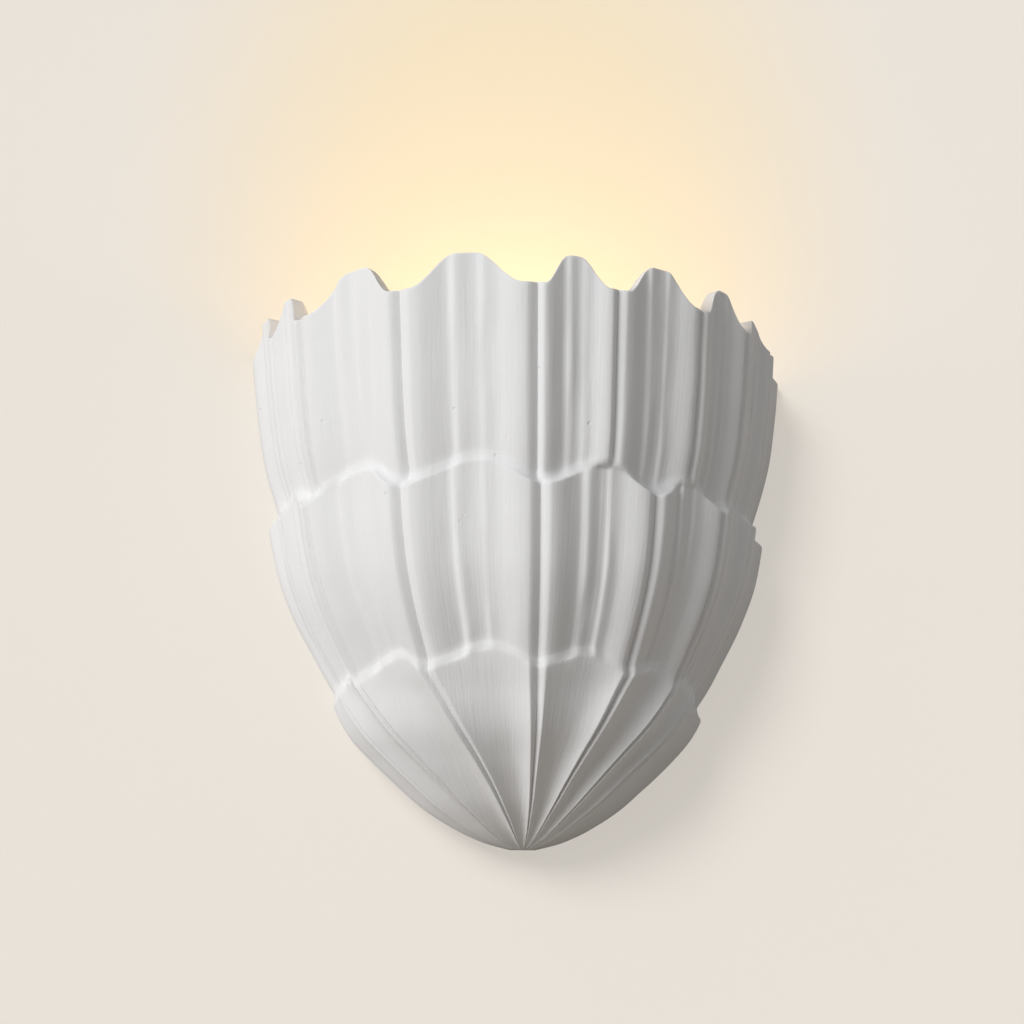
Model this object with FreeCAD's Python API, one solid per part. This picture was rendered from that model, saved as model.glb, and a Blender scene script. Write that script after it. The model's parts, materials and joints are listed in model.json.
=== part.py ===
import FreeCAD, Part
import math
import os

# Shell wall sconce: a cast plaster shade in three fluted, scalloped tiers, open at the top and at the back,
# hung on two headed studs of a steel wall plate that carries an E27 lampholder and an LED lamp.
# Millimetres. X is to the right, +Z is up, and the wall is the plane Y = 0, so the front faces -Y.
# The origin is the middle of the wall plate's back face.

V = FreeCAD.Vector

# ---- shade: overall form. Heights are above the shade's tip, radii are to the crests of the flutes ----
ORIGIN_HEIGHT = 185.0        # from the tip up to the frame's origin
UPPER_PROFILE = [(150.0, 119.5), (188.0, 133.5), (209.0, 139.5), (237.0, 143.8), (267.0, 146.3),
                 (300.0, 148.3), (325.0, 149.3)]
MIDDLE_PROFILE = [(60.0, 83.5), (88.0, 104.2), (104.0, 113.0), (125.0, 123.8), (146.0, 131.8),
                  (164.0, 135.8), (190.0, 139.4), (218.0, 142.6)]
LOWER_PROFILE = [(0.0, 7.0), (2.8, 18.0), (7.2, 29.5), (14.0, 42.0), (20.5, 52.0), (34.0, 68.0), (47.0, 81.5),
                 (60.4, 93.6), (73.7, 101.5), (80.5, 104.5), (96.0, 112.5), (112.0, 120.0)]
CAVITY_PROFILE = [(18.0, 22.0), (26.0, 38.0), (48.0, 65.0), (76.0, 86.0), (104.0, 98.5), (145.0, 115.0),
                  (188.0, 121.5), (237.0, 128.5), (300.0, 135.8), (340.0, 139.2)]
TIP_LEAN = 3.8               # the tip stands this far to the right of the rim's middle

# ---- shade: flutes. Each list has the azimuths of the grooves, 0 at the front and positive to the right ----
UPPER_GROOVES = [-72.5, -60.5, -32.0, -1.2, 16.7, 38.5, 54.5, 69.0]
LOWER_GROOVES = [-78.0, -63.0, -34.0, -0.5, 25.5, 46.5, 61.5]
GROOVE_DEPTH = 6.5           # below the crests, between flutes of the widest size
HOLLOW_DEPTH = 3.8           # of a flute's hollow below its crests
BEAD_HEIGHT = 1.1            # of the two beads along the middle of an upper or middle flute
WIDEST_FLUTE = 32.0          # degrees
CREST_AT = 0.14              # the crest's place across a flute, as a share of its width
HOLLOW_AT = 0.33             # where the hollow is as deep as it gets
FADE_FROM = 34.0             # the flutes fade out towards the tip, below this radius
FADE_TO = 8.0
SHALLOW_FROM = 108.0         # they are shallower below this radius too
SHALLOW_OVER = 120.0

# ---- shade: scalloped edges. The height is at the front's grooves, and the edge drops from there to the wall
# and a little more to the right. A scallop rises between two shares of its flute's width, and narrow sets
# how much lower it is on a narrow flute. The slope is inwards, in degrees ----
RIM_EDGE = dict(height=301.0, radius=146.0, wall_drop=36.0, right_drop=5.0, slope=-8.0,
                rise=17.0, start=0.10, full=0.42, narrow=0.1)
MIDDLE_EDGE = dict(height=191.0, radius=134.0, wall_drop=18.0, right_drop=4.5, slope=42.0,
                   rise=16.5, start=0.0, full=0.48, narrow=0.9)
LOWER_EDGE = dict(height=92.0, radius=105.0, wall_drop=16.5, right_drop=3.4, slope=42.0,
                  rise=11.5, start=0.0, full=0.48, narrow=0.9)
LAST_SCALLOP = 0.2           # the scallop at the right end rises this share of the others
CUT_FROM_RADIUS = 40.0       # the room above an edge, from this radius
CUT_TO_RADIUS = 190.0
CUT_HEIGHT = 260.0
CUT_PAST_WALL = 12.0         # degrees

# ---- shade: lugs for the hanger bar ----
LUG_INSIDE = 12.0            # from its screw to its inner face
LUG_LENGTH = 60.0            # before the shade's outline cuts it
LUG_HEIGHT = 32.0
LUG_DEPTH = 24.0
LUG_CORNER = 5.0

# ---- wall plate ----
PLATE_WIDTH = 120.0
PLATE_HEIGHT = 110.0
PLATE_THICK = 2.0
PLATE_CORNER = 8.0
SLOT_SPACING = 90.0
SLOT_LENGTH = 12.0           # between the middles of its round ends
SLOT_RADIUS = 2.4
CABLE_HOLE_RADIUS = 7.0
CABLE_HOLE_Z = 10.0
GROMMET_BORE = 4.0
GROMMET_FLANGE = 2.2         # past the hole, and as thick in front
GROMMET_FLANGE_THICK = 1.6

# ---- hanger bar and its studs ----
STUD_SPACING = 90.0
STUD_Z = 43.0
STUD_RADIUS = 2.3
STUD_HEAD_RADIUS = 4.75
STUD_HEAD_THICK = 1.6
STUD_SHOULDER_RADIUS = 3.6
STUD_SHOULDER = 2.2          # stands off the plate
STUD_CLEARANCE = 0.2         # round the shank, and along Y at each side of the bar
BAR_HEIGHT = 30.0
BAR_THICK = 2.5
BAR_LENGTH = 244.0
BAR_CORNER = 6.0
BAR_ABOVE_STUD = 9.0
KEYHOLE_DROP = 11.0          # from the seat to the middle of the large hole
KEYHOLE_RADIUS = 5.5
BAR_HOLE_SPACING = 216.0

# ---- screws, washers and inserts ----
M3_RADIUS = 1.5
M4_RADIUS = 2.0
M4_HOLE_RADIUS = 2.25
M3_HOLE_RADIUS = 1.7
PAN_HEAD_SHARE = 2.0         # a pan head's radius over its screw's
PAN_HEAD_RISE = 0.75         # a pan head's thickness over its screw's diameter
WASHER_RADIUS = 4.8
WASHER_THICK = 0.8
INSERT_RADIUS = 3.3
INSERT_LENGTH = 10.0
HANGER_SCREW_LENGTH = 12.0

# ---- lamp arm ----
ARM_WIDTH = 26.0
ARM_THICK = 2.0
ARM_Z = -50.0                # its top face, on which the lampholder stands
ARM_FLANGE = 27.0
ARM_BEND = 3.0               # inside radius
LAMP_Y = -62.0               # the lamp's axis, in front of the wall
ARM_SCREW_SPACING = 15.0
ARM_SCREW_RISE = 18.0        # above the arm's top face

# ---- lampholder ----
NIPPLE_RADIUS = 5.0
NIPPLE_BORE = 3.8
NIPPLE_LENGTH = 20.0
NIPPLE_ABOVE = 6.0           # above the arm's top face
NIPPLE_NUT_FLATS = 14.0
NIPPLE_NUT_THICK = 3.0
NIPPLE_WASHER_RADIUS = 9.0
NIPPLE_WASHER_THICK = 1.0
DOME_FOOT_RADIUS = 12.5
DOME_RADIUS = 19.0
DOME_HEIGHT = 26.0
DOME_WALL = 2.4
DOME_FLOOR = 4.0
NECK_HEIGHT = 7.0            # of the dome's neck, inside the skirt
SKIRT_HEIGHT = 28.0
SKIRT_RADIUS = 20.2
SKIRT_WALL = 3.0
SKIRT_FLUTES = 18
SKIRT_FLUTE_RADIUS = 1.0
HOLDER_CLEARANCE = 0.2       # round the neck and the core
CORE_RADIUS = 14.6
CORE_THICK = 8.0
SCREW_SHELL_BORE = 13.6
SCREW_SHELL_WALL = 0.5
SCREW_SHELL_HEIGHT = 17.0
CONTACT_RADIUS = 4.0
CONTACT_STEM_RADIUS = 1.5
CONTACT_THICK = 1.0
HOLDER_TERMINAL_RADIUS = 2.6
HOLDER_TERMINAL_HEIGHT = 5.0
HOLDER_TERMINAL_SPACING = 10.0

# ---- lamp ----
LAMP_SEAT_CLEARANCE = 0.1    # between the lamp's contact and the lampholder's
CAP_RADIUS = 13.1
CAP_WALL = 0.5
CAP_HEIGHT = 19.0
CAP_BUTTON_RADIUS = 4.5
CAP_BUTTON_THICK = 1.6
CAP_INSULATOR_HEIGHT = 4.0
CAP_INSULATOR_SPIGOT = 3.0
HOUSING_HEIGHT = 40.0
HOUSING_WALL = 1.8
HOUSING_SPIGOT = 8.0
GLOBE_RADIUS = 30.0
GLOBE_WALL = 1.2
GLOBE_HEIGHT = 44.0
GLOBE_SPIGOT = 3.0
LED_BOARD_THICK = 1.6
LED_BOARD_CLEARANCE = 0.3
LED_COUNT = 12
LED_RING_RADIUS = 15.0
LED_SIZE = 2.8
LED_HEIGHT = 0.8

# ---- terminal block, earth terminal and leads ----
BLOCK_WIDTH = 26.0
BLOCK_HEIGHT = 18.0
BLOCK_DEPTH = 15.0
BLOCK_X = -33.0
BLOCK_Z = -33.0
POLE_PITCH = 8.0
POLE_Y = -10.5
POLE_RADIUS = 2.4
POLE_BORE = 1.4
POLE_INSET = 2.0             # from the block's upper and lower faces
GRUB_RADIUS = 1.3
GRUB_SPACING = 8.0
GRUB_RECESS = 1.5            # below the block's front
LEAD_RADIUS = 1.2
WIRE_RADIUS = 0.6
WIRE_BARED = 4.0
LEAD_APART = 1.4             # from the nipple's axis, inside it
LIVE_DROP = 42.0             # the leads' lowest places, below the arm
NEUTRAL_DROP = 38.0
EARTH_DROP = 26.0
EARTH_X = 32.0
EARTH_Z = -30.0
RING_RADIUS = 4.2
RING_THICK = 0.8
BARREL_RADIUS = 1.7
BARREL_LENGTH = 7.0
BARREL_DROP = 6.0            # from the ring's middle to the barrel

# ---- worked out from the above ----
PLATE_FRONT = -PLATE_THICK
BAR_BACK = PLATE_FRONT - STUD_SHOULDER - STUD_CLEARANCE
BAR_FRONT = BAR_BACK - BAR_THICK
BAR_Z = STUD_Z + BAR_ABOVE_STUD - BAR_HEIGHT / 2
DOME_TOP = ARM_Z + DOME_HEIGHT
CORE_Z = DOME_TOP - 2.0
CORE_TOP = CORE_Z + CORE_THICK
CONTACT_TOP = CORE_TOP + CONTACT_THICK
BUTTON_Z = CONTACT_TOP + LAMP_SEAT_CLEARANCE
CAP_Z = BUTTON_Z + CAP_BUTTON_THICK + CAP_INSULATOR_HEIGHT
HOUSING_Z = CAP_Z + CAP_HEIGHT
GLOBE_Z = HOUSING_Z + HOUSING_HEIGHT


def save(name, *solids):
    """Writes one sub-part as a STEP file, made of one or more separate solids."""
    shape = solids[0] if len(solids) == 1 else Part.makeCompound(list(solids))
    for solid in shape.Solids:
        if not solid.isValid() or solid.Volume <= 0:
            raise RuntimeError(name + " has a bad solid")
    shape.exportStep("parts/" + name + ".step")
    print("%-22s %2d solids %9.1f mm3" % (name, len(shape.Solids), shape.Volume))
    return shape


# ---------------------------------------------------------------- helpers

def along_y(radius, front, back, x=0.0, z=0.0):
    """A round bar along Y between two depths."""
    return Part.makeCylinder(radius, back - front, V(x, front, z), V(0, 1, 0))


def upright(radius, bottom, top, x=0.0, y=0.0):
    """A round bar along Z between two heights."""
    return Part.makeCylinder(radius, top - bottom, V(x, y, bottom), V(0, 0, 1))


def turned(points, x=0.0, y=0.0, smooth=()):
    """A solid turned about the upright axis at x, y from (radius, z) points. Between two point numbers that
    are listed in smooth, one curve goes through the points."""
    edges = []
    number = 0
    spans = dict(smooth)
    while number < len(points):
        last = spans.get(number, number + 1)
        stretch = [V(r, 0, z) for r, z in points[number:last + 1]]
        if last == len(points):
            stretch.append(V(points[0][0], 0, points[0][1]))
        if len(stretch) == 2:
            edges.append(Part.makeLine(stretch[0], stretch[1]))
        else:
            curve = Part.BSplineCurve()
            curve.interpolate(Points=stretch)
            edges.append(curve.toShape())
        number = last
    face = Part.Face(Part.Wire(edges))
    solid = face.revolve(V(0, 0, 0), V(0, 0, 1), 360)
    solid = Part.Solid(solid.Shells[0]) if solid.ShapeType != "Solid" else solid
    solid.translate(V(x, y, 0))
    return solid


def turned_along_y(points, x=0.0, z=0.0):
    """A solid turned about an axis along Y from (radius, y) points."""
    wire = Part.makePolygon([V(r, y, 0) for r, y in points + points[:1]])
    solid = Part.Face(wire).revolve(V(0, 0, 0), V(0, 1, 0), 360)
    solid.translate(V(x, 0, z))
    return solid


def rounded_plate(width, height, corner, front, back, x=0.0, z=0.0):
    """A flat plate that faces the front, with round corners."""
    plate = Part.makeBox(width, back - front, height, V(x - width / 2, front, z - height / 2))
    corners = [e for e in plate.Edges if abs(e.Length - (back - front)) < 1e-6 and
               abs(e.tangentAt(e.FirstParameter).y) > 0.9]
    return plate.makeFillet(corner, corners)


def hexagon(flats):
    """The corners of a hexagon with the given width across its flats."""
    radius = flats / math.sqrt(3)
    angles = [math.radians(60 * corner) for corner in range(6)]
    return [(radius * math.cos(angle), radius * math.sin(angle)) for angle in angles]


def slot_along_x(radius, length, front, back, x, z):
    """A slot's room along X, with round ends whose middles are a length apart."""
    room = Part.makeBox(length, back - front, 2 * radius, V(x - length / 2, front, z - radius))
    for end in (x - length / 2, x + length / 2):
        room = room.fuse(along_y(radius, front, back, end, z))
    return room


def washer(front, back, x, z):
    return along_y(WASHER_RADIUS, front, back, x, z).cut(along_y(M4_HOLE_RADIUS, front - 1, back + 1, x, z))


def pan_screw(radius, seat, length, x, z, head_forward=True):
    """A pan-head screw along Y with a cross recess. The head's flat side is at the seat."""
    head_radius = radius * PAN_HEAD_SHARE
    rise = 2 * radius * PAN_HEAD_RISE
    head = turned_along_y([(0.0, 0.0), (head_radius, 0.0), (head_radius, -rise * 0.45),
                           (head_radius * 0.72, -rise), (0.0, -rise)])
    screw = head.fuse(along_y(radius, 0.0, length))
    arm = head_radius * 0.6
    recess = Part.makeBox(2 * arm, rise * 0.5 + 1, radius * 0.45, V(-arm, -rise - 1, -radius * 0.225))
    across = recess.copy()
    across.rotate(V(0, 0, 0), V(0, 1, 0), 90)
    screw = screw.cut(recess).cut(across)
    if not head_forward:
        screw.rotate(V(0, 0, 0), V(0, 0, 1), 180)
    screw.translate(V(x, seat, z))
    return screw


def bent_tube(points, radius):
    """A round lead along straight runs joined by tangent arcs. Prints the smallest bend."""
    edges = []
    start = points[0]
    radii = []
    for before, corner, after in zip(points, points[1:], points[2:]):
        back = before - corner
        ahead = after - corner
        half_turn = (math.pi - back.getAngle(ahead)) / 2
        setback = 0.45 * min(back.Length, ahead.Length)
        radii.append(setback / math.tan(half_turn))
        a = corner + back.normalize() * setback
        b = corner + ahead.normalize() * setback
        to_centre = radii[-1] / math.cos(half_turn)
        inwards = ((a + b) / 2 - corner).normalize()
        middle = corner + inwards * (to_centre - radii[-1])
        edges.append(Part.makeLine(start, a))
        edges.append(Part.Arc(a, middle, b).toShape())
        start = b
    edges.append(Part.makeLine(start, points[-1]))
    path = Part.Wire(edges)
    first = points[1] - points[0]
    profile = Part.Wire(Part.makeCircle(radius, points[0], first.normalize()))
    tube = path.makePipeShell([profile], True, False)
    length = sum(e.Length for e in edges)
    expected = length * math.pi * radius ** 2
    print("lead: length %.1f, smallest bend %.1f, volume %.4f of section times length" %
          (length, min(radii), tube.Volume / expected))
    return tube


# ---------------------------------------------------------------- shade

def flutes(grooves):
    """Each flute from wall to wall: its first azimuth, its width and the depth of the groove at each end."""
    azimuths = [-90.0] + grooves + [90.0]
    widths = [last - first for first, last in zip(azimuths, azimuths[1:])]
    depths = [0.0]
    for left, right in zip(widths, widths[1:]):
        depths.append(GROOVE_DEPTH * math.sqrt(min(1.0, (left + right) / 2 / WIDEST_FLUTE)))
    depths.append(0.0)
    return list(zip(azimuths, widths, depths, depths[1:]))


def depth_at(place, width, left_groove, right_groove, bead):
    """How far the surface lies below the crests, at a place across a flute."""
    if place < CREST_AT:
        return left_groove * (1 - place / CREST_AT) ** 1.7
    if place > 1 - CREST_AT:
        return right_groove * (1 - (1 - place) / CREST_AT) ** 1.7
    hollow = HOLLOW_DEPTH * math.sqrt(min(1.0, width / WIDEST_FLUTE))
    inwards = min(place, 1 - place)
    if inwards < HOLLOW_AT:
        return hollow * (1 - math.cos(math.pi * (inwards - CREST_AT) / (HOLLOW_AT - CREST_AT))) / 2
    across_bead = (inwards - HOLLOW_AT) / (0.5 - HOLLOW_AT)
    return hollow - bead * width / WIDEST_FLUTE * (1 - math.cos(2 * math.pi * across_bead)) / 2


BEAD_AT = (HOLLOW_AT + 0.5) / 2
HALF_ACROSS = [0.0, CREST_AT * 0.4, CREST_AT, (CREST_AT + HOLLOW_AT) / 2, HOLLOW_AT, BEAD_AT]
ACROSS = HALF_ACROSS + [0.5] + [1 - place for place in reversed(HALF_ACROSS)]


def lean(height):
    """How far the shade's middle lies to the right, which grows towards its tip."""
    top = UPPER_PROFILE[-1][0]
    return TIP_LEAN * ((top - height) / top) ** 2


def section(grooves, height, radius, bead):
    """One level of a tier: the fluted front, and a straight back on the wall."""
    shallow = min(1.0, 1.0 - (SHALLOW_FROM - radius) / SHALLOW_OVER)
    fade = max(0.0, min(1.0, (radius - FADE_TO) / (FADE_FROM - FADE_TO))) * shallow
    middle = lean(height)
    edges = []
    for first, width, left_groove, right_groove in flutes(grooves):
        points = []
        for place in ACROSS:
            azimuth = math.radians(first + place * width)
            r = radius - fade * depth_at(place, width, left_groove, right_groove, bead)
            y = 0.0 if abs(abs(azimuth) - math.pi / 2) < 1e-6 else -r * math.cos(azimuth)
            points.append(V(middle + r * math.sin(azimuth), y, height - ORIGIN_HEIGHT))
        curve = Part.BSplineCurve()
        curve.interpolate(Points=points, Parameters=ACROSS)
        edges.append(curve.toShape())
    edges.append(Part.makeLine(points[-1], edges[0].Vertexes[0].Point))
    return Part.Wire(edges)


def tier(grooves, profile, bead):
    """A solid tier, lofted through its levels."""
    levels = [section(grooves, height, radius, bead) for height, radius in profile]
    return Part.makeLoft(levels, True, False, False, 5)


def scallop(edge, share):
    """The height of an edge's scallop at a place across its flute, from 0 to 1."""
    climb = (min(share, 1 - share) - edge["start"]) / (edge["full"] - edge["start"])
    climb = max(0.0, min(1.0, climb))
    return climb * climb * (3 - 2 * climb)


def edge_level(edge, degrees):
    """The height of an edge's grooves at an azimuth."""
    azimuth = math.radians(max(-90.0, min(90.0, degrees)))
    drop = edge["wall_drop"] * (1 - math.cos(azimuth)) + edge["right_drop"] * math.sin(azimuth)
    return edge["height"] - drop


def scallop_cutter(grooves, edge):
    """All that lies above a scalloped edge: a ruled surface round the axis, drawn upwards."""
    start, full = edge["start"], edge["full"]
    shares = [start, (2 * start + full) / 3, (start + 2 * full) / 3, full]
    if start > 0:
        shares.insert(0, 0.0)
    shares += [1 - share for share in reversed(shares[1:])]
    bounds = [-90.0] + grooves + [90.0]
    levels = [(-90.0 - CUT_PAST_WALL, 0.0)]
    for first, last in zip(bounds, bounds[1:]):
        rise = edge["rise"] * min(1.0, (last - first) / WIDEST_FLUTE) ** edge["narrow"]
        if last == bounds[-1]:
            rise *= LAST_SCALLOP
        levels += [(first + share * (last - first), rise * scallop(edge, share)) for share in shares]
    levels += [(90.0, 0.0), (90.0 + CUT_PAST_WALL, 0.0)]
    climb = math.tan(math.radians(edge["slope"]))
    curves = []
    for radius in (CUT_FROM_RADIUS, CUT_TO_RADIUS):
        points = []
        for degrees, lift in levels:
            azimuth = math.radians(degrees)
            z = edge_level(edge, degrees) + lift + (edge["radius"] - radius) * climb - ORIGIN_HEIGHT
            points.append(V(radius * math.sin(azimuth), -radius * math.cos(azimuth), z))
        curve = Part.BSplineCurve()
        curve.interpolate(Points=points)
        curves.append(curve.toShape())
    return Part.makeRuledSurface(curves[0], curves[1]).extrude(V(0, 0, CUT_HEIGHT))


def cavity():
    """The room inside the shade, open at the top and through the back."""
    levels = [(radius, height - ORIGIN_HEIGHT) for height, radius in CAVITY_PROFILE]
    points = [(0.0, levels[0][1])] + levels + [(0.0, levels[-1][1])]
    return turned(points, smooth=[(1, len(levels))])


def lugs(outer):
    """Two cast lugs inside the back edge, which take the hanger bar's screws."""
    inner_face = BAR_HOLE_SPACING / 2 - LUG_INSIDE
    low = BAR_Z - LUG_HEIGHT / 2
    made = []
    for side in (-1, 1):
        lug = Part.makeBox(LUG_LENGTH, LUG_DEPTH, LUG_HEIGHT, V(inner_face, BAR_FRONT - LUG_DEPTH, low))
        corners = [e for e in lug.Edges if abs(e.CenterOfMass.x - inner_face) < 1e-6 and
                   abs(e.CenterOfMass.y - BAR_FRONT) > 1e-6]
        lug = lug.makeFillet(LUG_CORNER, corners)
        if side < 0:
            lug = lug.mirror(V(0, 0, 0), V(1, 0, 0))
        made.append(lug.common(outer))
    return made


def plaster_shade():
    """The whole cast shade: three tiers, hollowed, with its lugs."""
    upper = tier(UPPER_GROOVES, UPPER_PROFILE, BEAD_HEIGHT)
    middle = tier(LOWER_GROOVES, MIDDLE_PROFILE, BEAD_HEIGHT)
    lower = tier(LOWER_GROOVES, LOWER_PROFILE, 0.0)
    upper = upper.cut(scallop_cutter(UPPER_GROOVES, RIM_EDGE))
    middle = middle.cut(scallop_cutter(LOWER_GROOVES, MIDDLE_EDGE))
    lower = lower.cut(scallop_cutter(LOWER_GROOVES, LOWER_EDGE))
    outer = upper.fuse(middle).fuse(lower)
    shade = outer.cut(cavity())
    for lug in lugs(outer):
        for side in (-1, 1):
            x = side * BAR_HOLE_SPACING / 2
            lug = lug.cut(along_y(INSERT_RADIUS, BAR_FRONT - INSERT_LENGTH, BAR_FRONT + 1, x, BAR_Z))
        shade = shade.fuse(lug)
    return shade


# ---------------------------------------------------------------- hanger bar, on the shade

def keyhole(x):
    """A keyhole through the bar, whose seat lies on the stud at x."""
    half_slot = STUD_RADIUS + STUD_CLEARANCE
    bottom = STUD_Z - KEYHOLE_DROP
    slot = Part.makeBox(2 * half_slot, BAR_THICK + 2, KEYHOLE_DROP, V(x - half_slot, BAR_FRONT - 1, bottom))
    seat = along_y(half_slot, BAR_FRONT - 1, BAR_BACK + 1, x, STUD_Z)
    hole = along_y(KEYHOLE_RADIUS, BAR_FRONT - 1, BAR_BACK + 1, x, bottom)
    return slot.fuse(seat).fuse(hole)


def both_sides(spacing):
    """The two places along X, a spacing apart."""
    return (-spacing / 2, spacing / 2)


def hanger_bar():
    bar = rounded_plate(BAR_LENGTH, BAR_HEIGHT, BAR_CORNER, BAR_FRONT, BAR_BACK, 0.0, BAR_Z)
    for x in both_sides(STUD_SPACING):
        bar = bar.cut(keyhole(x))
    for x in both_sides(BAR_HOLE_SPACING):
        bar = bar.cut(along_y(M4_HOLE_RADIUS, BAR_FRONT - 1, BAR_BACK + 1, x, BAR_Z))
    return bar


def hanger_fixings():
    """The cast-in inserts, the washers and the screws, one of each at each side."""
    inserts, washers, screws = [], [], []
    for x in both_sides(BAR_HOLE_SPACING):
        insert = along_y(INSERT_RADIUS, BAR_FRONT - INSERT_LENGTH, BAR_FRONT, x, BAR_Z)
        bore = along_y(M4_RADIUS, BAR_FRONT - INSERT_LENGTH + 1, BAR_FRONT + 1, x, BAR_Z)
        inserts.append(insert.cut(bore))
        washers.append(washer(BAR_BACK, BAR_BACK + WASHER_THICK, x, BAR_Z))
        length = HANGER_SCREW_LENGTH
        screws.append(pan_screw(M4_RADIUS, BAR_BACK + WASHER_THICK, length, x, BAR_Z, head_forward=False))
    return inserts, washers, screws


# ---------------------------------------------------------------- wall plate and what is on it

def wall_plate():
    plate = rounded_plate(PLATE_WIDTH, PLATE_HEIGHT, PLATE_CORNER, PLATE_FRONT, 0.0)
    for x in both_sides(SLOT_SPACING):
        plate = plate.cut(slot_along_x(SLOT_RADIUS, SLOT_LENGTH, PLATE_FRONT - 1, 1.0, x, 0.0))
    for x in both_sides(STUD_SPACING):
        plate = plate.cut(along_y(STUD_RADIUS, PLATE_FRONT - 1, 1.0, x, STUD_Z))
    for x in both_sides(ARM_SCREW_SPACING):
        plate = plate.cut(along_y(M3_RADIUS, PLATE_FRONT - 1, 1.0, x, ARM_Z + ARM_SCREW_RISE))
    plate = plate.cut(along_y(CABLE_HOLE_RADIUS, PLATE_FRONT - 1, 1.0, 0.0, CABLE_HOLE_Z))
    plate = plate.cut(along_y(M4_RADIUS, PLATE_FRONT - 1, 1.0, EARTH_X, EARTH_Z))
    return plate.cut(along_y(M3_RADIUS, PLATE_FRONT - 1, 1.0, BLOCK_X + POLE_PITCH / 2, BLOCK_Z))


def hanging_stud(x):
    """A headed stud, riveted flush into the plate, with a shoulder that keeps the bar off the plate."""
    shoulder = PLATE_FRONT - STUD_SHOULDER
    head = BAR_FRONT - STUD_CLEARANCE
    profile = [(0.0, 0.0), (STUD_RADIUS, 0.0), (STUD_RADIUS, PLATE_FRONT),
               (STUD_SHOULDER_RADIUS, PLATE_FRONT), (STUD_SHOULDER_RADIUS, shoulder),
               (STUD_RADIUS, shoulder), (STUD_RADIUS, head),
               (STUD_HEAD_RADIUS, head), (STUD_HEAD_RADIUS, head - STUD_HEAD_THICK * 0.4),
               (STUD_HEAD_RADIUS * 0.75, head - STUD_HEAD_THICK), (0.0, head - STUD_HEAD_THICK)]
    return turned_along_y(profile, x, STUD_Z)


def cable_grommet():
    flange = CABLE_HOLE_RADIUS + GROMMET_FLANGE
    front = PLATE_FRONT - GROMMET_FLANGE_THICK
    profile = [(GROMMET_BORE, 0.0), (CABLE_HOLE_RADIUS, 0.0), (CABLE_HOLE_RADIUS, PLATE_FRONT),
               (flange, PLATE_FRONT), (flange, front + 0.5), (flange - 0.5, front), (GROMMET_BORE, front)]
    return turned_along_y(profile, 0.0, CABLE_HOLE_Z)


def lamp_arm():
    """A steel strip bent forward, whose end is round about the lamp's axis."""
    outside = ARM_BEND + ARM_THICK
    under = ARM_Z - ARM_THICK
    front = PLATE_FRONT - ARM_THICK
    strip = Part.makeBox(ARM_WIDTH, ARM_THICK, ARM_FLANGE + ARM_THICK, V(-ARM_WIDTH / 2, front, under))
    reach = Part.makeBox(ARM_WIDTH, PLATE_FRONT - LAMP_Y, ARM_THICK, V(-ARM_WIDTH / 2, LAMP_Y, under))
    corner = Part.makeBox(ARM_WIDTH, ARM_BEND, ARM_BEND, V(-ARM_WIDTH / 2, front - ARM_BEND, ARM_Z))
    axis_y, axis_z = front - ARM_BEND, ARM_Z + ARM_BEND
    inner = Part.makeCylinder(ARM_BEND, ARM_WIDTH, V(-ARM_WIDTH / 2, axis_y, axis_z), V(1, 0, 0))
    arm = strip.fuse(reach).fuse(corner.cut(inner)).fuse(upright(ARM_WIDTH / 2, under, ARM_Z, 0.0, LAMP_Y))
    outer = Part.makeCylinder(outside, ARM_WIDTH, V(-ARM_WIDTH / 2, axis_y, axis_z), V(1, 0, 0))
    block = Part.makeBox(ARM_WIDTH, outside, outside, V(-ARM_WIDTH / 2, axis_y, under))
    arm = arm.cut(block.cut(outer)).removeSplitter()
    for x in both_sides(ARM_SCREW_SPACING):
        arm = arm.cut(along_y(M3_HOLE_RADIUS, front - 1, PLATE_FRONT + 1, x, ARM_Z + ARM_SCREW_RISE))
    return arm.cut(upright(NIPPLE_RADIUS, under - 1, ARM_Z + 1, 0.0, LAMP_Y))


def lamp_arm_screws():
    front = PLATE_FRONT - ARM_THICK
    z = ARM_Z + ARM_SCREW_RISE
    return [pan_screw(M3_RADIUS, front, ARM_THICK + PLATE_THICK, x, z) for x in both_sides(ARM_SCREW_SPACING)]


def poles():
    """The places of the terminal block's three poles: live, neutral and earth."""
    return [BLOCK_X + step * POLE_PITCH for step in (-1, 0, 1)]


def terminal_block():
    bottom = BLOCK_Z - BLOCK_HEIGHT / 2
    front = PLATE_FRONT - BLOCK_DEPTH
    block = rounded_plate(BLOCK_WIDTH, BLOCK_HEIGHT, 1.5, front, PLATE_FRONT, BLOCK_X, BLOCK_Z)
    for x in poles():
        block = block.cut(upright(POLE_RADIUS, bottom - 1, bottom + BLOCK_HEIGHT + 1, x, POLE_Y))
        for z in (BLOCK_Z - GRUB_SPACING / 2, BLOCK_Z + GRUB_SPACING / 2):
            block = block.cut(along_y(GRUB_RADIUS + 0.3, front - 1, POLE_Y, x, z))
    fixing_x = BLOCK_X + POLE_PITCH / 2
    block = block.cut(along_y(M3_HOLE_RADIUS, front - 1, PLATE_FRONT + 1, fixing_x, BLOCK_Z))
    return block, fixing_x


def terminal_insert(x):
    half = BLOCK_HEIGHT / 2 - POLE_INSET
    insert = upright(POLE_RADIUS, BLOCK_Z - half, BLOCK_Z + half, x, POLE_Y)
    insert = insert.cut(upright(POLE_BORE, BLOCK_Z - half - 1, BLOCK_Z + half + 1, x, POLE_Y))
    for z in (BLOCK_Z - GRUB_SPACING / 2, BLOCK_Z + GRUB_SPACING / 2):
        insert = insert.cut(along_y(GRUB_RADIUS, POLE_Y - POLE_RADIUS - 1, POLE_Y, x, z))
    return insert


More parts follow.
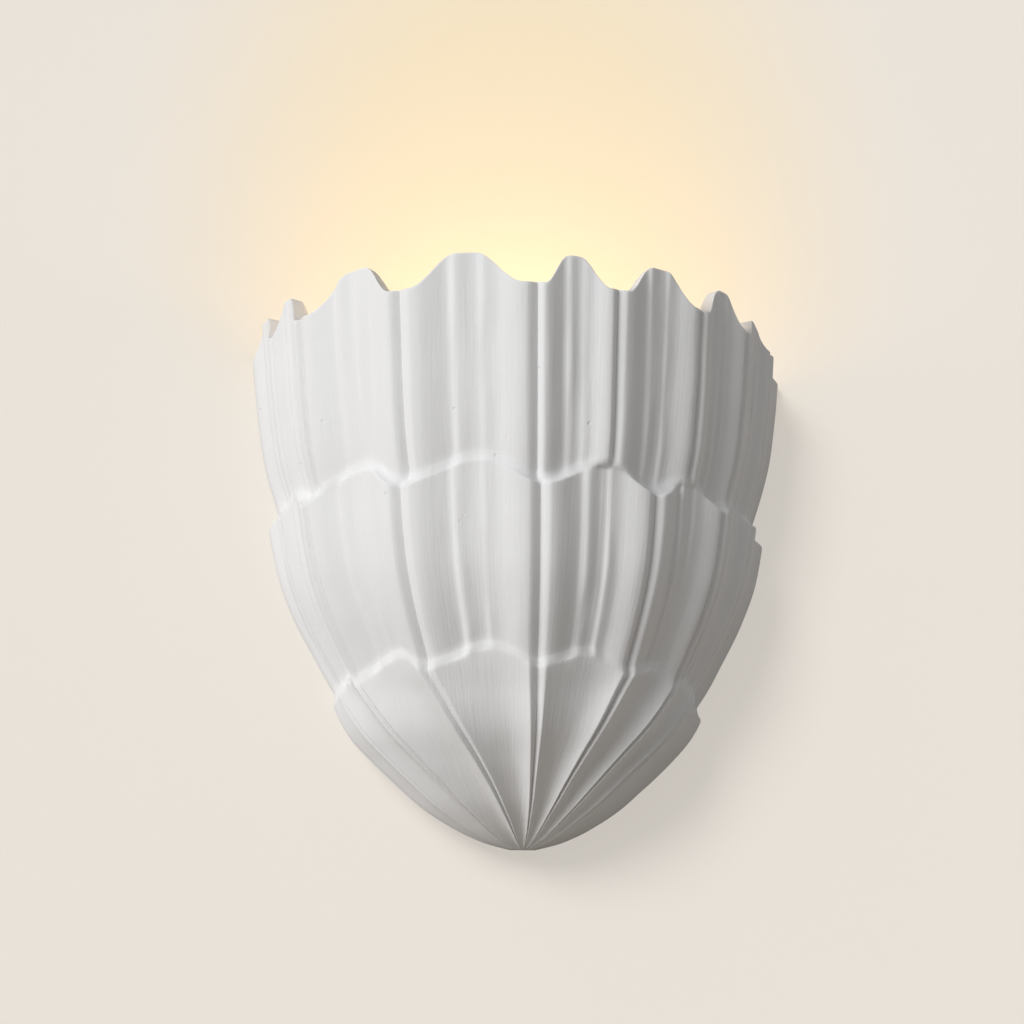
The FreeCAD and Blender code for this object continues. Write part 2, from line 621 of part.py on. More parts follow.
def grub_screws():
    """The clamping screws of the block's poles: the lower ones reach the leads, the upper ones stand open."""
    front = PLATE_FRONT - BLOCK_DEPTH + GRUB_RECESS
    screws = []
    for x in poles():
        for step, tip in ((-1, WIRE_RADIUS + 0.05), (1, POLE_BORE)):
            z = BLOCK_Z + step * GRUB_SPACING / 2
            screw = along_y(GRUB_RADIUS, front, POLE_Y - tip, x, z)
            slot = Part.makeBox(2 * GRUB_RADIUS + 1, 0.7, 0.5, V(x - GRUB_RADIUS - 0.5, front, z - 0.25))
            screws.append(screw.cut(slot))
    return screws


def earth_ring():
    """A crimped ring terminal on the plate, its barrel pointing down."""
    back = PLATE_FRONT
    ring = along_y(RING_RADIUS, back - RING_THICK, back, EARTH_X, EARTH_Z)
    barrel_top = EARTH_Z - BARREL_DROP
    tongue_height = BARREL_DROP
    tongue = Part.makeBox(2 * BARREL_RADIUS, RING_THICK, tongue_height,
                          V(EARTH_X - BARREL_RADIUS, back - RING_THICK, barrel_top))
    y = back - BARREL_RADIUS
    barrel = upright(BARREL_RADIUS, barrel_top - BARREL_LENGTH, barrel_top, EARTH_X, y)
    bore = upright(WIRE_RADIUS, barrel_top - BARREL_LENGTH - 1, barrel_top + 1, EARTH_X, y)
    ring = ring.fuse(tongue).fuse(barrel).cut(bore)
    return ring.cut(along_y(M4_RADIUS, back - 5, back + 1, EARTH_X, EARTH_Z))


def lead(points):
    """A lead along a route, with bared wire at both ends."""
    tube = bent_tube(points, LEAD_RADIUS)
    for end, beside in ((points[0], points[1]), (points[-1], points[-2])):
        way = (end - beside).normalize()
        tube = tube.fuse(Part.makeCylinder(WIRE_RADIUS, WIRE_BARED, end, way))
    return tube


def leads():
    """The three leads, from the lower side of the block: two to the lampholder, one to the plate."""
    bottom = BLOCK_Z - BLOCK_HEIGHT / 2 + POLE_INSET
    live_x, neutral_x, earth_x = poles()
    ends = CORE_Z - HOLDER_TERMINAL_HEIGHT
    left, right = both_sides(HOLDER_TERMINAL_SPACING)
    nipple_top = ARM_Z + NIPPLE_ABOVE
    x, low = LEAD_APART, ARM_Z - LIVE_DROP
    live = [V(live_x, POLE_Y, bottom), V(live_x, POLE_Y - 1.5, bottom - 25),
            V(BLOCK_X + 7, LAMP_Y + 28, low + 6), V(-x, LAMP_Y - 1, low), V(-x, LAMP_Y - 1, low + 24),
            V(-x, LAMP_Y - 0.6, nipple_top + 0.5), V(left, LAMP_Y, ends - 4.5), V(left, LAMP_Y, ends)]
    low = ARM_Z - NEUTRAL_DROP
    neutral = [V(neutral_x, POLE_Y, bottom), V(neutral_x, POLE_Y - 2, bottom - 23),
               V(BLOCK_X + 16, LAMP_Y + 25, low + 8), V(x, LAMP_Y + 1, low), V(x, LAMP_Y + 1, low + 22),
               V(x, LAMP_Y + 0.6, nipple_top + 0.5), V(right, LAMP_Y, ends - 4.5), V(right, LAMP_Y, ends)]
    low = ARM_Z - EARTH_DROP
    barrel = V(EARTH_X, PLATE_FRONT - BARREL_RADIUS, EARTH_Z - BARREL_DROP - BARREL_LENGTH)
    earth = [V(earth_x, POLE_Y, bottom), V(earth_x + 0.5, POLE_Y - 0.5, bottom - 21),
             V(BLOCK_X + 26, POLE_Y - 2, low), V(EARTH_X - 17, POLE_Y - 1.5, low),
             V(EARTH_X - 2, barrel.y - 2.3, barrel.z - 21), barrel - V(0, 0, 9), barrel]
    return lead(live), lead(neutral), lead(earth)


# ---------------------------------------------------------------- lampholder

def nipple():
    top = ARM_Z + NIPPLE_ABOVE
    tube = upright(NIPPLE_RADIUS, top - NIPPLE_LENGTH, top, 0.0, LAMP_Y)
    return tube.cut(upright(NIPPLE_BORE, top - NIPPLE_LENGTH - 1, top + 1, 0.0, LAMP_Y))


def nipple_fixings():
    """The washer and the nut under the arm."""
    under = ARM_Z - ARM_THICK
    low = under - NIPPLE_WASHER_THICK
    ring = upright(NIPPLE_WASHER_RADIUS, low, under, 0.0, LAMP_Y)
    corners = [V(a, b + LAMP_Y, low - NIPPLE_NUT_THICK) for a, b in hexagon(NIPPLE_NUT_FLATS)]
    nut = Part.Face(Part.makePolygon(corners + corners[:1])).extrude(V(0, 0, NIPPLE_NUT_THICK))
    hole = upright(NIPPLE_RADIUS, low - NIPPLE_NUT_THICK - 1, under + 1, 0.0, LAMP_Y)
    return ring.cut(hole), nut.cut(hole)


def holder_dome():
    """The lampholder's foot: a dome with a neck that the skirt goes over, and a ledge for the core."""
    neck_outer = SKIRT_RADIUS - SKIRT_WALL - HOLDER_CLEARANCE
    seat_radius = CORE_RADIUS + HOLDER_CLEARANCE
    neck_top = DOME_TOP + NECK_HEIGHT
    profile = [(NIPPLE_RADIUS, ARM_Z), (DOME_FOOT_RADIUS, ARM_Z),
               (DOME_FOOT_RADIUS + 0.6 * (DOME_RADIUS - DOME_FOOT_RADIUS), ARM_Z + DOME_HEIGHT * 0.22),
               (DOME_RADIUS, ARM_Z + DOME_HEIGHT * 0.7), (DOME_RADIUS, DOME_TOP),
               (neck_outer, DOME_TOP), (neck_outer, neck_top), (seat_radius, neck_top), (seat_radius, CORE_Z),
               (seat_radius - 1.5, CORE_Z), (seat_radius - 1.5, ARM_Z + DOME_HEIGHT * 0.6),
               (DOME_FOOT_RADIUS - DOME_WALL + 1, ARM_Z + DOME_FLOOR), (NIPPLE_RADIUS, ARM_Z + DOME_FLOOR)]
    return turned(profile, 0.0, LAMP_Y, smooth=[(1, 3)])


def holder_skirt():
    """The skirt, screwed over the dome's neck, with a rolled lip and grip flutes."""
    inner = SKIRT_RADIUS - SKIRT_WALL
    top = DOME_TOP + SKIRT_HEIGHT
    profile = [(inner, DOME_TOP), (SKIRT_RADIUS, DOME_TOP), (SKIRT_RADIUS, top - 1), (SKIRT_RADIUS - 1, top),
               (inner, top)]
    skirt = turned(profile, 0.0, LAMP_Y)
    for number in range(SKIRT_FLUTES):
        angle = 2 * math.pi * number / SKIRT_FLUTES
        x = SKIRT_RADIUS * math.cos(angle)
        y = LAMP_Y + SKIRT_RADIUS * math.sin(angle)
        skirt = skirt.cut(upright(SKIRT_FLUTE_RADIUS, DOME_TOP + 4, top - 6, x, y))
    return skirt


def holder_core():
    core = upright(CORE_RADIUS, CORE_Z, CORE_TOP, 0.0, LAMP_Y)
    return core.cut(upright(CONTACT_STEM_RADIUS, CORE_Z - 1, CORE_TOP + 1, 0.0, LAMP_Y))


def screw_shell():
    """The thin threaded shell that takes the lamp's cap, with a flange that lies on the core."""
    outer = SCREW_SHELL_BORE + SCREW_SHELL_WALL
    flange = SCREW_SHELL_BORE - 4.0
    floor = CORE_TOP + SCREW_SHELL_WALL
    top = CORE_TOP + SCREW_SHELL_HEIGHT
    profile = [(flange, CORE_TOP), (outer, CORE_TOP), (outer, top), (SCREW_SHELL_BORE, top),
               (SCREW_SHELL_BORE, floor), (flange, floor)]
    return turned(profile, 0.0, LAMP_Y)


def centre_contact():
    profile = [(0.0, CORE_Z), (CONTACT_STEM_RADIUS, CORE_Z), (CONTACT_STEM_RADIUS, CORE_TOP),
               (CONTACT_RADIUS, CORE_TOP), (CONTACT_RADIUS, CONTACT_TOP), (0.0, CONTACT_TOP)]
    return turned(profile, 0.0, LAMP_Y)


def holder_terminals():
    posts = []
    for x in both_sides(HOLDER_TERMINAL_SPACING):
        low = CORE_Z - HOLDER_TERMINAL_HEIGHT
        post = upright(HOLDER_TERMINAL_RADIUS, low, CORE_Z, x, LAMP_Y)
        posts.append(post.cut(upright(WIRE_RADIUS, low - 1, low + WIRE_BARED, x, LAMP_Y)))
    return posts


# ---------------------------------------------------------------- lamp

def lamp_cap():
    """The lamp's screw cap."""
    inner = CAP_RADIUS - CAP_WALL
    profile = [(inner, CAP_Z), (CAP_RADIUS, CAP_Z), (CAP_RADIUS, HOUSING_Z), (inner, HOUSING_Z)]
    return turned(profile, 0.0, LAMP_Y)


def cap_insulator():
    low = BUTTON_Z + CAP_BUTTON_THICK
    neck = CAP_BUTTON_RADIUS + 2.5
    spigot = CAP_RADIUS - CAP_WALL
    profile = [(0.0, low), (neck, low), (CAP_RADIUS, CAP_Z), (spigot, CAP_Z),
               (spigot, CAP_Z + CAP_INSULATOR_SPIGOT), (0.0, CAP_Z + CAP_INSULATOR_SPIGOT)]
    return turned(profile, 0.0, LAMP_Y)


def cap_contact():
    low = BUTTON_Z
    high = BUTTON_Z + CAP_BUTTON_THICK
    profile = [(0.0, low), (CAP_BUTTON_RADIUS * 0.7, low), (CAP_BUTTON_RADIUS, low + CAP_BUTTON_THICK / 2),
               (CAP_BUTTON_RADIUS, high), (0.0, high)]
    return turned(profile, 0.0, LAMP_Y)


def lamp_housing():
    """The lamp's body: a cup that widens from the cap to the globe, with a ledge for the LED board."""
    spigot = CAP_RADIUS - CAP_WALL
    mouth = GLOBE_RADIUS - HOUSING_WALL
    ledge = GLOBE_Z - GLOBE_SPIGOT - LED_BOARD_THICK
    profile = [(spigot, HOUSING_Z - HOUSING_SPIGOT), (spigot, HOUSING_Z), (CAP_RADIUS + 1.0, HOUSING_Z),
               (CAP_RADIUS + 3.0, HOUSING_Z + HOUSING_HEIGHT * 0.15),
               (GLOBE_RADIUS * 0.78, HOUSING_Z + HOUSING_HEIGHT * 0.55),
               (GLOBE_RADIUS * 0.95, HOUSING_Z + HOUSING_HEIGHT * 0.82), (GLOBE_RADIUS, GLOBE_Z),
               (mouth, GLOBE_Z), (mouth, ledge), (mouth - 2.5, ledge),
               (GLOBE_RADIUS * 0.78 - HOUSING_WALL - 2.5, HOUSING_Z + HOUSING_HEIGHT * 0.55),
               (CAP_RADIUS - 1.5, HOUSING_Z + HOUSING_HEIGHT * 0.15),
               (spigot - HOUSING_WALL, HOUSING_Z - HOUSING_SPIGOT)]
    return turned(profile, 0.0, LAMP_Y, smooth=[(2, 6)])


def lamp_globe():
    """The lamp's diffuser, which plugs into the housing's mouth."""
    spigot = GLOBE_RADIUS - HOUSING_WALL
    inner = GLOBE_RADIUS - HOUSING_WALL - GLOBE_WALL
    steps = 6
    outside, inside = [], []
    for step in range(steps + 1):
        angle = math.pi / 2 * step / steps
        rise = math.sin(angle) ** 0.9
        outside.append((GLOBE_RADIUS * math.cos(angle), GLOBE_Z + GLOBE_HEIGHT * rise))
        inside.append((inner * math.cos(angle), GLOBE_Z + (GLOBE_HEIGHT - GLOBE_WALL) * rise))
    outside[-1] = (0.0, GLOBE_Z + GLOBE_HEIGHT)
    inside[-1] = (0.0, GLOBE_Z + GLOBE_HEIGHT - GLOBE_WALL)
    low = GLOBE_Z - GLOBE_SPIGOT
    profile = [(spigot, low), (spigot, GLOBE_Z)] + outside + inside[::-1] + [(inner, low)]
    first = 2
    second = first + len(outside)
    return turned(profile, 0.0, LAMP_Y, smooth=[(first, second - 1), (second, second + len(inside) - 1)])


def led_parts():
    """The LED board, clamped by the diffuser, and the ring of LEDs on it."""
    top = GLOBE_Z - GLOBE_SPIGOT
    radius = GLOBE_RADIUS - HOUSING_WALL - LED_BOARD_CLEARANCE
    board = upright(radius, top - LED_BOARD_THICK, top, 0.0, LAMP_Y)
    chips = []
    for number in range(LED_COUNT):
        corner = V(LED_RING_RADIUS - LED_SIZE / 2, -LED_SIZE / 2, top)
        chip = Part.makeBox(LED_SIZE, LED_SIZE, LED_HEIGHT, corner)
        chip.rotate(V(0, 0, 0), V(0, 0, 1), 360.0 * number / LED_COUNT)
        chip.translate(V(0, LAMP_Y, 0))
        chips.append(chip)
    return board, chips


# ---------------------------------------------------------------- everything

os.makedirs("parts", exist_ok=True)

save("plaster_shade", plaster_shade())
save("hanger_bar", hanger_bar())
insert_pair, washer_pair, screw_pair = hanger_fixings()
save("shade_inserts", *insert_pair)
save("hanger_washers", *washer_pair)
save("hanger_screws", *screw_pair)

save("wall_plate", wall_plate())
save("hanging_studs", *[hanging_stud(x) for x in both_sides(STUD_SPACING)])
save("cable_grommet", cable_grommet())
save("lamp_arm", lamp_arm())
save("lamp_arm_screws", *lamp_arm_screws())

block, fixing_x = terminal_block()
save("terminal_block", block)
save("terminal_inserts", *[terminal_insert(x) for x in poles()])
save("terminal_screws", *grub_screws())
block_front = PLATE_FRONT - BLOCK_DEPTH
save("terminal_fixing_screw", pan_screw(M3_RADIUS, block_front, BLOCK_DEPTH + PLATE_THICK, fixing_x, BLOCK_Z))
save("earth_ring", earth_ring())
washer_front = PLATE_FRONT - RING_THICK - WASHER_THICK
save("earth_washer", washer(washer_front, PLATE_FRONT - RING_THICK, EARTH_X, EARTH_Z))
save("earth_screw", pan_screw(M4_RADIUS, washer_front, -washer_front, EARTH_X, EARTH_Z))
live, neutral, earth = leads()
save("live_lead", live)
save("neutral_lead", neutral)
save("earth_lead", earth)

save("nipple", nipple())
nipple_washer, nipple_nut = nipple_fixings()
save("nipple_washer", nipple_washer)
save("nipple_nut", nipple_nut)
save("holder_dome", holder_dome())
save("holder_skirt", holder_skirt())
save("holder_core", holder_core())
save("screw_shell", screw_shell())
save("centre_contact", centre_contact())
save("holder_terminals", *holder_terminals())

save("lamp_cap", lamp_cap())
save("cap_insulator", cap_insulator())
save("cap_contact", cap_contact())
save("lamp_housing", lamp_housing())
save("lamp_globe", lamp_globe())
led_board, led_chips = led_parts()
save("led_board", led_board)
save("led_chips", *led_chips)
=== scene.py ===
import json
import math

import bmesh
import bpy
import numpy as np
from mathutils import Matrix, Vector
from mathutils.geometry import tessellate_polygon


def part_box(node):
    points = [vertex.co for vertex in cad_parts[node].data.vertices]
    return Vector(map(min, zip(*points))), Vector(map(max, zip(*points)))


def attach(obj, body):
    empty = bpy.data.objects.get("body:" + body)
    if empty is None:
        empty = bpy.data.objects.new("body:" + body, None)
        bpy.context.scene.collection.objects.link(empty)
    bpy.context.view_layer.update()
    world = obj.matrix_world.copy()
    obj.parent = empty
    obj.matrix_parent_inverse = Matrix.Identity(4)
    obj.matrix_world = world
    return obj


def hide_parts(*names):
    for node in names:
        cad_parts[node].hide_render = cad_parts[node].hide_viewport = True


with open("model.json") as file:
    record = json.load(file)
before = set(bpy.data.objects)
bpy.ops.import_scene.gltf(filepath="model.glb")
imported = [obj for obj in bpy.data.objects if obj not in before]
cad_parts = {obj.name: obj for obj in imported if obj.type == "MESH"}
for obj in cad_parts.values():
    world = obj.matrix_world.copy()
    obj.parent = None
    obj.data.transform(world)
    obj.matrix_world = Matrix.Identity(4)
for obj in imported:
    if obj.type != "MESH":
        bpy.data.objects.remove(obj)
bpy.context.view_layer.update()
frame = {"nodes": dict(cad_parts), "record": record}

# Shell wall sconce. Lengths are millimetres where MM turns them into metres, and metres elsewhere. Heights in
# the tables are above the shade's tip. Angles are degrees round it, 0 at the front and positive to the right.
MM = 0.001
nodes = frame["nodes"]

# ---- camera, as the photograph has it ----
MM_PER_PIXEL = 0.5545
VIEW_AZIMUTH = -6.0
VIEW_ELEVATION = -5.5
CAMERA_DISTANCE = 9.0
SENSOR = 36.0                # millimetres, as Blender counts it
CLIP_NEAR, CLIP_FAR = 0.05, 50.0
ORIGIN_PIXEL = (515.5, 517.5)
IMAGE_PIXELS = 1024

# ---- the shade's form: each profile is a list of (height, radius) ----
WALL_AT = 90.0               # degrees from the front, on both sides
TIP_BELOW_ORIGIN = 185.0
TIP_LEAN = 3.8               # to the right, fading out towards the rim
UPPER_PROFILE = [(150, 119.5), (188, 133.5), (209, 139.5), (237, 143.8), (267, 146.3), (300, 148.3),
                 (325, 149.3)]
MIDDLE_PROFILE = [(60, 83.5), (88, 104.2), (104, 113), (125, 123.8), (146, 131.8), (164, 135.8), (190, 139.4),
                  (218, 142.6)]
LOWER_PROFILE = [(0, 7), (2.8, 18), (7.2, 29.5), (14, 42), (20.5, 52), (34, 68), (47, 81.5), (60.4, 93.6),
                 (73.7, 101.5), (80.5, 104.5), (96, 112.5), (112, 120)]
CAVITY_PROFILE = [(18, 22), (26, 38), (48, 65), (76, 86), (104, 98.5), (145, 115), (188, 121.5), (237, 128.5),
                  (300, 135.8), (340, 139.2)]

# ---- flutes: places across a flute are shares of its width. Near the tip the share of their depth that is
# left is SHALLOW_LEAST and the radius over SHALLOW_OVER together, and 1 at most ----
UPPER_GROOVES = [-72.5, -60.5, -32.0, -1.2, 16.7, 38.5, 54.5, 69.0]
LOWER_GROOVES = [-78.0, -64.0, -34.0, -0.5, 28.0, 50.0, 65.0]
WIDEST_FLUTE = 32.0          # degrees; narrower flutes are shallower
GROOVE_DEPTH = 3.8
GROOVE_FLARE = 1.6           # the power by which a groove opens to its crests
CREST_AT = 0.08
HOLLOW_DEPTH = 7.5
HOLLOW_AT = 0.39             # where a beaded flute is at its full depth
DEEPEST_AT = 0.58            # where a plain one is
BEADS = ((0.40, 1.0), (0.61, 0.8))     # each bead's place and its part of the height
BEAD_HEIGHT = 2.0
BEAD_FRONT = 0.045           # across the flute, from where a bead starts to where it is highest
BEAD_BACK = 0.13             # and on to where it ends
BEAD_PATCHES = 34.0          # patches of higher and lower beads in a metre
BEAD_PATCH_EDGES = (0.38, 0.62)
BEAD_PATCH_PARTS = (0.5, 1.25)
UNEVENNESS = 2.2             # of hand work, from lowest to highest
WAVES = 26.0                 # of that unevenness, in a metre
LENGTHWISE = 0.35            # times as many of both along the height
FADE_FROM = 14.0             # below this radius the flutes fade out
FADE_TO = 2.0
SHALLOW_OVER = 95.0
SHALLOW_LEAST = 0.15
GATHER_BELOW = 90.0          # below this height they close up towards the front
GATHER_SHARE = 0.65

# ---- scalloped edges: the height is that of the front's grooves, and the drops are towards the wall and to
# the right. Peaks are where across its flute each scallop is highest, and parts are how much of the rise it
# has. It rises between start and full, where a groove is at 0 and the peak at 0.5. Narrow is the power by
# which narrow flutes rise less ----
RIM_EDGE = dict(height=300.5, wall_drop=36.0, right_drop=5.0, rise=17.0, start=0.10, full=0.42, narrow=0.1,
                peaks=[0.5, 0.5, 0.62, 0.47, 0.45, 0.5, 0.5, 0.4, 0.5],
                parts=[1, 1, 1, 1, 1, 1, 1, 0.65, 0.1])
MIDDLE_EDGE = dict(height=191.0, wall_drop=18.0, right_drop=4.5, rise=12.5, start=0.0, full=0.48, narrow=0.9,
                   peaks=[0.5, 0.5, 0.66, 0.60, 0.58, 0.5, 0.5, 0.5], parts=[1, 1, 1, 1, 1, 1, 0.8, 0.2])
LOWER_EDGE = dict(height=92.0, wall_drop=16.5, right_drop=3.4, rise=9.0, start=0.0, full=0.48, narrow=0.9,
                  peaks=[0.5, 0.5, 0.66, 0.58, 0.55, 0.5, 0.5, 0.5], parts=[1, 1, 1, 1, 1, 1, 1, 0.2])
LEDGE_RISE = 6.5
LEDGE_SLANT = 0.45           # the share of a ledge's rise that is even, the rest being round
RIM_DROP = 1.5               # from the rim's outer edge to its inner one

# ---- the cast lugs that take the hanger bar ----
LUG_INNER = 96.0
LUG_OUTER = 127.0
LUG_HEIGHT = 32.0
LUG_DEPTH = 24.0
LUG_CORNER = 5.0
LUG_CORNER_STEPS = 6
SAME_PLACE = 1e-6            # metres

# ---- how finely the shade is made ----
COLUMN_STEP = 0.62           # degrees
FINE_STEP = 0.30             # degrees, within the reach of a groove
FINE_REACH = 3.0             # degrees
UPPER_ROWS = 46
MIDDLE_ROWS = 44
LOWER_ROWS = 54
LEDGE_ROWS = 8
RIM_ROWS = 8
INNER_ROWS = 30
TOWARDS_LIP = 1.35           # rows lie closer to each other near a tier's lip where this is over 1
PROFILE_SAMPLES = 1200
LIP_ROWS = 2                 # rows under a lip that are rounded with it
LITTLE_ROUNDING = 0.06       # of the other rows
ROUNDING_STEPS = 2
ON_THE_WALL = 0.00001        # metres; what is no farther from the wall stays where it is
SHADE_SHARP_OVER = 50.0      # degrees between faces that stay sharp
LUGS_SHARP_OVER = 40.0
THREAD_STEPS = 36            # in a turn of a screw thread
RIB_SIDES = 8

# ---- the plaster's look ----
PLASTER_TONES = ((0.725, 0.72, 0.715), (0.80, 0.80, 0.805))
TONE_PARTS = (0.4, 0.45)     # of patches and of strokes in its tone
PLASTER_ROUGHNESS = (0.82, 0.98)
RELIEF_PARTS = (1.2, 0.9, 0.35, -2.5)      # of coarse strokes, fine strokes, grain and pinholes in its relief
RELIEF_STRENGTH, RELIEF_HEIGHT = 0.45, 0.0004
STROKE_WIDTH, STROKE_LENGTH = 0.0014, 0.05
STROKED_RADIUS = 0.14        # at which a stroke has its width
COARSE_STROKES = 0.3         # for each fine one
PINHOLE_CELLS = 95.0         # cells in a metre, each with one place for a pinhole
PINHOLE_EDGE = (0.05, 0.11)
PINHOLE_PATCHES = 60.0
PINHOLE_RARITY = 0.65
FINE_BUMP = 0.0001

# ---- the wall, with a painted glow of the lamp over it, and the floor. A part of its seen colour is its own light ----
WALL_CREAM = ((0.78, 0.725, 0.655), (0.80, 0.745, 0.675))
# the paint's colour over the lamp, a painted glow of the lamp
WALL_PAINTED_GLOW = (0.92, 0.78, 0.56)
# the wall's own light: even cream, and over the lamp a painted glow of the lamp
OWN_CREAM, OWN_PAINTED_GLOW = (0.965, 0.915, 0.845), (1.0, 0.865, 0.63)
OWN_SHARE = 0.5
# where the painted glow of the lamp lies on the wall: round a middle, and above a height
GLOW_MIDDLE = (0.0, 0.0, 0.17)
GLOW_STRETCH = (1.0, 1.0, 0.75)
GLOW_REACH = (0.06, 0.24)
GLOW_HEIGHTS = (0.02, 0.14)
BOUNCE_SHARE = 0.68          # of its light that the wall throws back on the object
CLOSE_BEHIND = 0.002         # faces as close as this to the wall get light through it
WALL_GAP = 0.0004            # behind the shade's back edge
FLOOR_HEIGHT = -1.2
STAGE_SIDE, STAGE_TOP, STAGE_FRONT = 6.0, 5.0, -12.0

# ---- light ----
SIDE_LIGHT = dict(azimuth=-51.0, elevation=14.0, spread=42.0, strength=2.45, color=(0.99, 0.995, 1.0))
WALL_LIGHT = dict(azimuth=-28.0, elevation=33.0, spread=20.0, strength=2.1, color=(1.0, 1.0, 1.0))
SKY_COLOR, SKY_STRENGTH = (0.97, 0.985, 1.0), 0.42
LAMP_GLOW, LAMP_STRENGTH = (1.0, 0.69, 0.36), 11.0
CHIP_GLOW, CHIP_STRENGTH = (1.0, 0.7, 0.3), 4.0


# ---------------------------------------------------------------- small helpers

def link(obj):
    """Puts an object in the scene."""
    bpy.context.scene.collection.objects.link(obj)
    return obj


def mesh_object(name, points, faces, smooth=True):
    """A mesh at the origin from points in metres."""
    mesh = bpy.data.meshes.new(name)
    mesh.from_pydata([tuple(p) for p in points], [], [tuple(f) for f in faces])
    mesh.polygons.foreach_set("use_smooth", [smooth] * len(mesh.polygons))
    mesh.update()
    return link(bpy.data.objects.new(name, mesh))


def apply_nodes(obj):
    """Turns a piece with its Geometry Nodes into a plain mesh."""
    depsgraph = bpy.context.evaluated_depsgraph_get()
    mesh = bpy.data.meshes.new_from_object(obj.evaluated_get(depsgraph), depsgraph=depsgraph)
    mesh.name = obj.name
    obj.modifiers.clear()
    obj.data = mesh
    return obj


def smooth_curve(table):
    """A smooth function through a table's points."""
    x, y = np.array(table, float).T
    slopes = np.gradient(y, x)

    def value(at):
        at = np.clip(at, x[0], x[-1])
        i = np.clip(np.searchsorted(x, at) - 1, 0, len(x) - 2)
        span = x[i + 1] - x[i]
        t = (at - x[i]) / span
        start = (1 + 2 * t) * (1 - t) ** 2 * y[i] + t * (1 - t) ** 2 * span * slopes[i]
        end = t * t * (3 - 2 * t) * y[i + 1] + t * t * (t - 1) * span * slopes[i + 1]
        return start + end
    return value


# ---------------------------------------------------------------- node building

class Tree:
    """A short way to write node trees, for shaders and for geometry."""

    def __init__(self, tree):
        self.tree = tree

    def add(self, kind, *inputs, out=0, **settings):
        """Makes a node from its inputs in their order, and from its properties and other inputs by name.
        Gives one of its outputs, or the node itself where out is None."""
        node = self.tree.nodes.new(kind)
        for key, value in settings.items():
            if key in node.bl_rna.properties:
                setattr(node, key, value)
        for place, value in enumerate(inputs):
            if value is not None:
                self.put(node.inputs[place], value)
        for key, value in settings.items():
            if key not in node.bl_rna.properties:
                self.put(node.inputs[key.replace("_", " ")], value)
        return node.outputs[out] if out is not None else node

    def put(self, socket, value):
        """Links another node's output to a socket, or sets the socket's value."""
        if isinstance(value, bpy.types.NodeSocket):
            self.tree.links.new(value, socket)
        else:
            socket.default_value = value

    def math(self, operation, a, b=None, c=None, clamp=False):
        return self.add("ShaderNodeMath", a, b, c, operation=operation, use_clamp=clamp)

    def weighted_sum(self, values, weights):
        """The sum of values, each times its weight."""
        total = 0.0
        for value, weight in zip(values, weights):
            total = self.math("MULTIPLY_ADD", value, weight, total)
        return total

    def smooth_step(self, value, low, high, start=0.0, end=1.0):
        return self.add("ShaderNodeMapRange", value, low, high, start, end, interpolation_type="SMOOTHSTEP")

    def vector(self, operation, a, b=None):
        node = self.tree.nodes.new("ShaderNodeVectorMath")
        node.operation = operation
        self.put(node.inputs[0], a)
        if b is not None:
            self.put(node.inputs["Scale" if operation == "SCALE" else 1], b)
        return node.outputs["Value" if operation in ("LENGTH", "DOT_PRODUCT") else "Vector"]


FLOAT, VECTOR = "NodeSocketFloat", "NodeSocketVector"
GEOMETRY, MATERIAL = "NodeSocketGeometry", "NodeSocketMaterial"
MIX_SOCKETS = {"RGBA": (6, 7, 2), "VECTOR": (4, 5, 1)}      # a Mix node's two inputs and its output, by kind


def mix(tree, kind, share, first, second):
    """Two values mixed, where a share of 1 is the second."""
    first_place, second_place, result = MIX_SOCKETS[kind]
    node = tree.add("ShaderNodeMix", share, data_type=kind, out=None)
    tree.put(node.inputs[first_place], first)
    tree.put(node.inputs[second_place], second)
    return node.outputs[result]


def new_group(name, kind, inputs, outputs):
    """An empty node group with named sockets. Each is (name, type) or (name, type, default)."""
    group = bpy.data.node_groups.new(name, kind)
    for direction, sockets in (("INPUT", inputs), ("OUTPUT", outputs)):
        for socket_name, socket_type, *default in sockets:
            socket = group.interface.new_socket(socket_name, in_out=direction, socket_type=socket_type)
            if default:
                socket.default_value = default[0]
    tree = Tree(group)
    start = group.nodes.new("NodeGroupInput")
    end = group.nodes.new("NodeGroupOutput")
    return tree, start.outputs, end.inputs


def set_inputs(modifier, values):
    """Sets a Geometry Nodes modifier's named inputs."""
    for item in modifier.node_group.interface.items_tree:
        if item.item_type == "SOCKET" and item.in_out == "INPUT" and item.name in values:
            modifier[item.identifier] = values[item.name]


# ---------------------------------------------------------------- materials

def material(name):
    """A new material, its tree and its Principled BSDF."""
    made = bpy.data.materials.new(name)
    made.use_nodes = True
    bsdf = made.node_tree.nodes["Principled BSDF"]
    return made, Tree(made.node_tree), bsdf


def mix_colors(tree, share, *colors):
    """Two colours mixed, each given as three numbers or as a socket."""
    first, second = (color if isinstance(color, bpy.types.NodeSocket) else (*color, 1.0) for color in colors)
    return mix(tree, "RGBA", share, first, second)


def use_group(tree, group, **values):
    """A node group's outputs, with its named inputs set."""
    node = tree.tree.nodes.new("ShaderNodeGroup")
    node.node_tree = group
    for key, value in values.items():
        tree.put(node.inputs[key.replace("_", " ")], value)
    return node.outputs


def blotches_group():
    """Soft uneven patches and fine grain of a surface, from its place on the object."""
    tree, start, end = new_group("blotches", "ShaderNodeTree",
                                 [("Patch Size", FLOAT, 0.03), ("Grain Size", FLOAT, 0.001)],
                                 [("Patches", FLOAT), ("Grain", FLOAT)])
    place = tree.add("ShaderNodeTexCoord", out="Object")
    patch = tree.add("ShaderNodeTexNoise", place, Scale=tree.math("DIVIDE", 1.0, start["Patch Size"]),
                     Detail=3.0, Roughness=0.55)
    grain = tree.add("ShaderNodeTexNoise", place, Scale=tree.math("DIVIDE", 1.0, start["Grain Size"]),
                     Detail=2.0, Roughness=0.6)
    tree.put(end["Patches"], patch)
    tree.put(end["Grain"], grain)
    return tree.tree


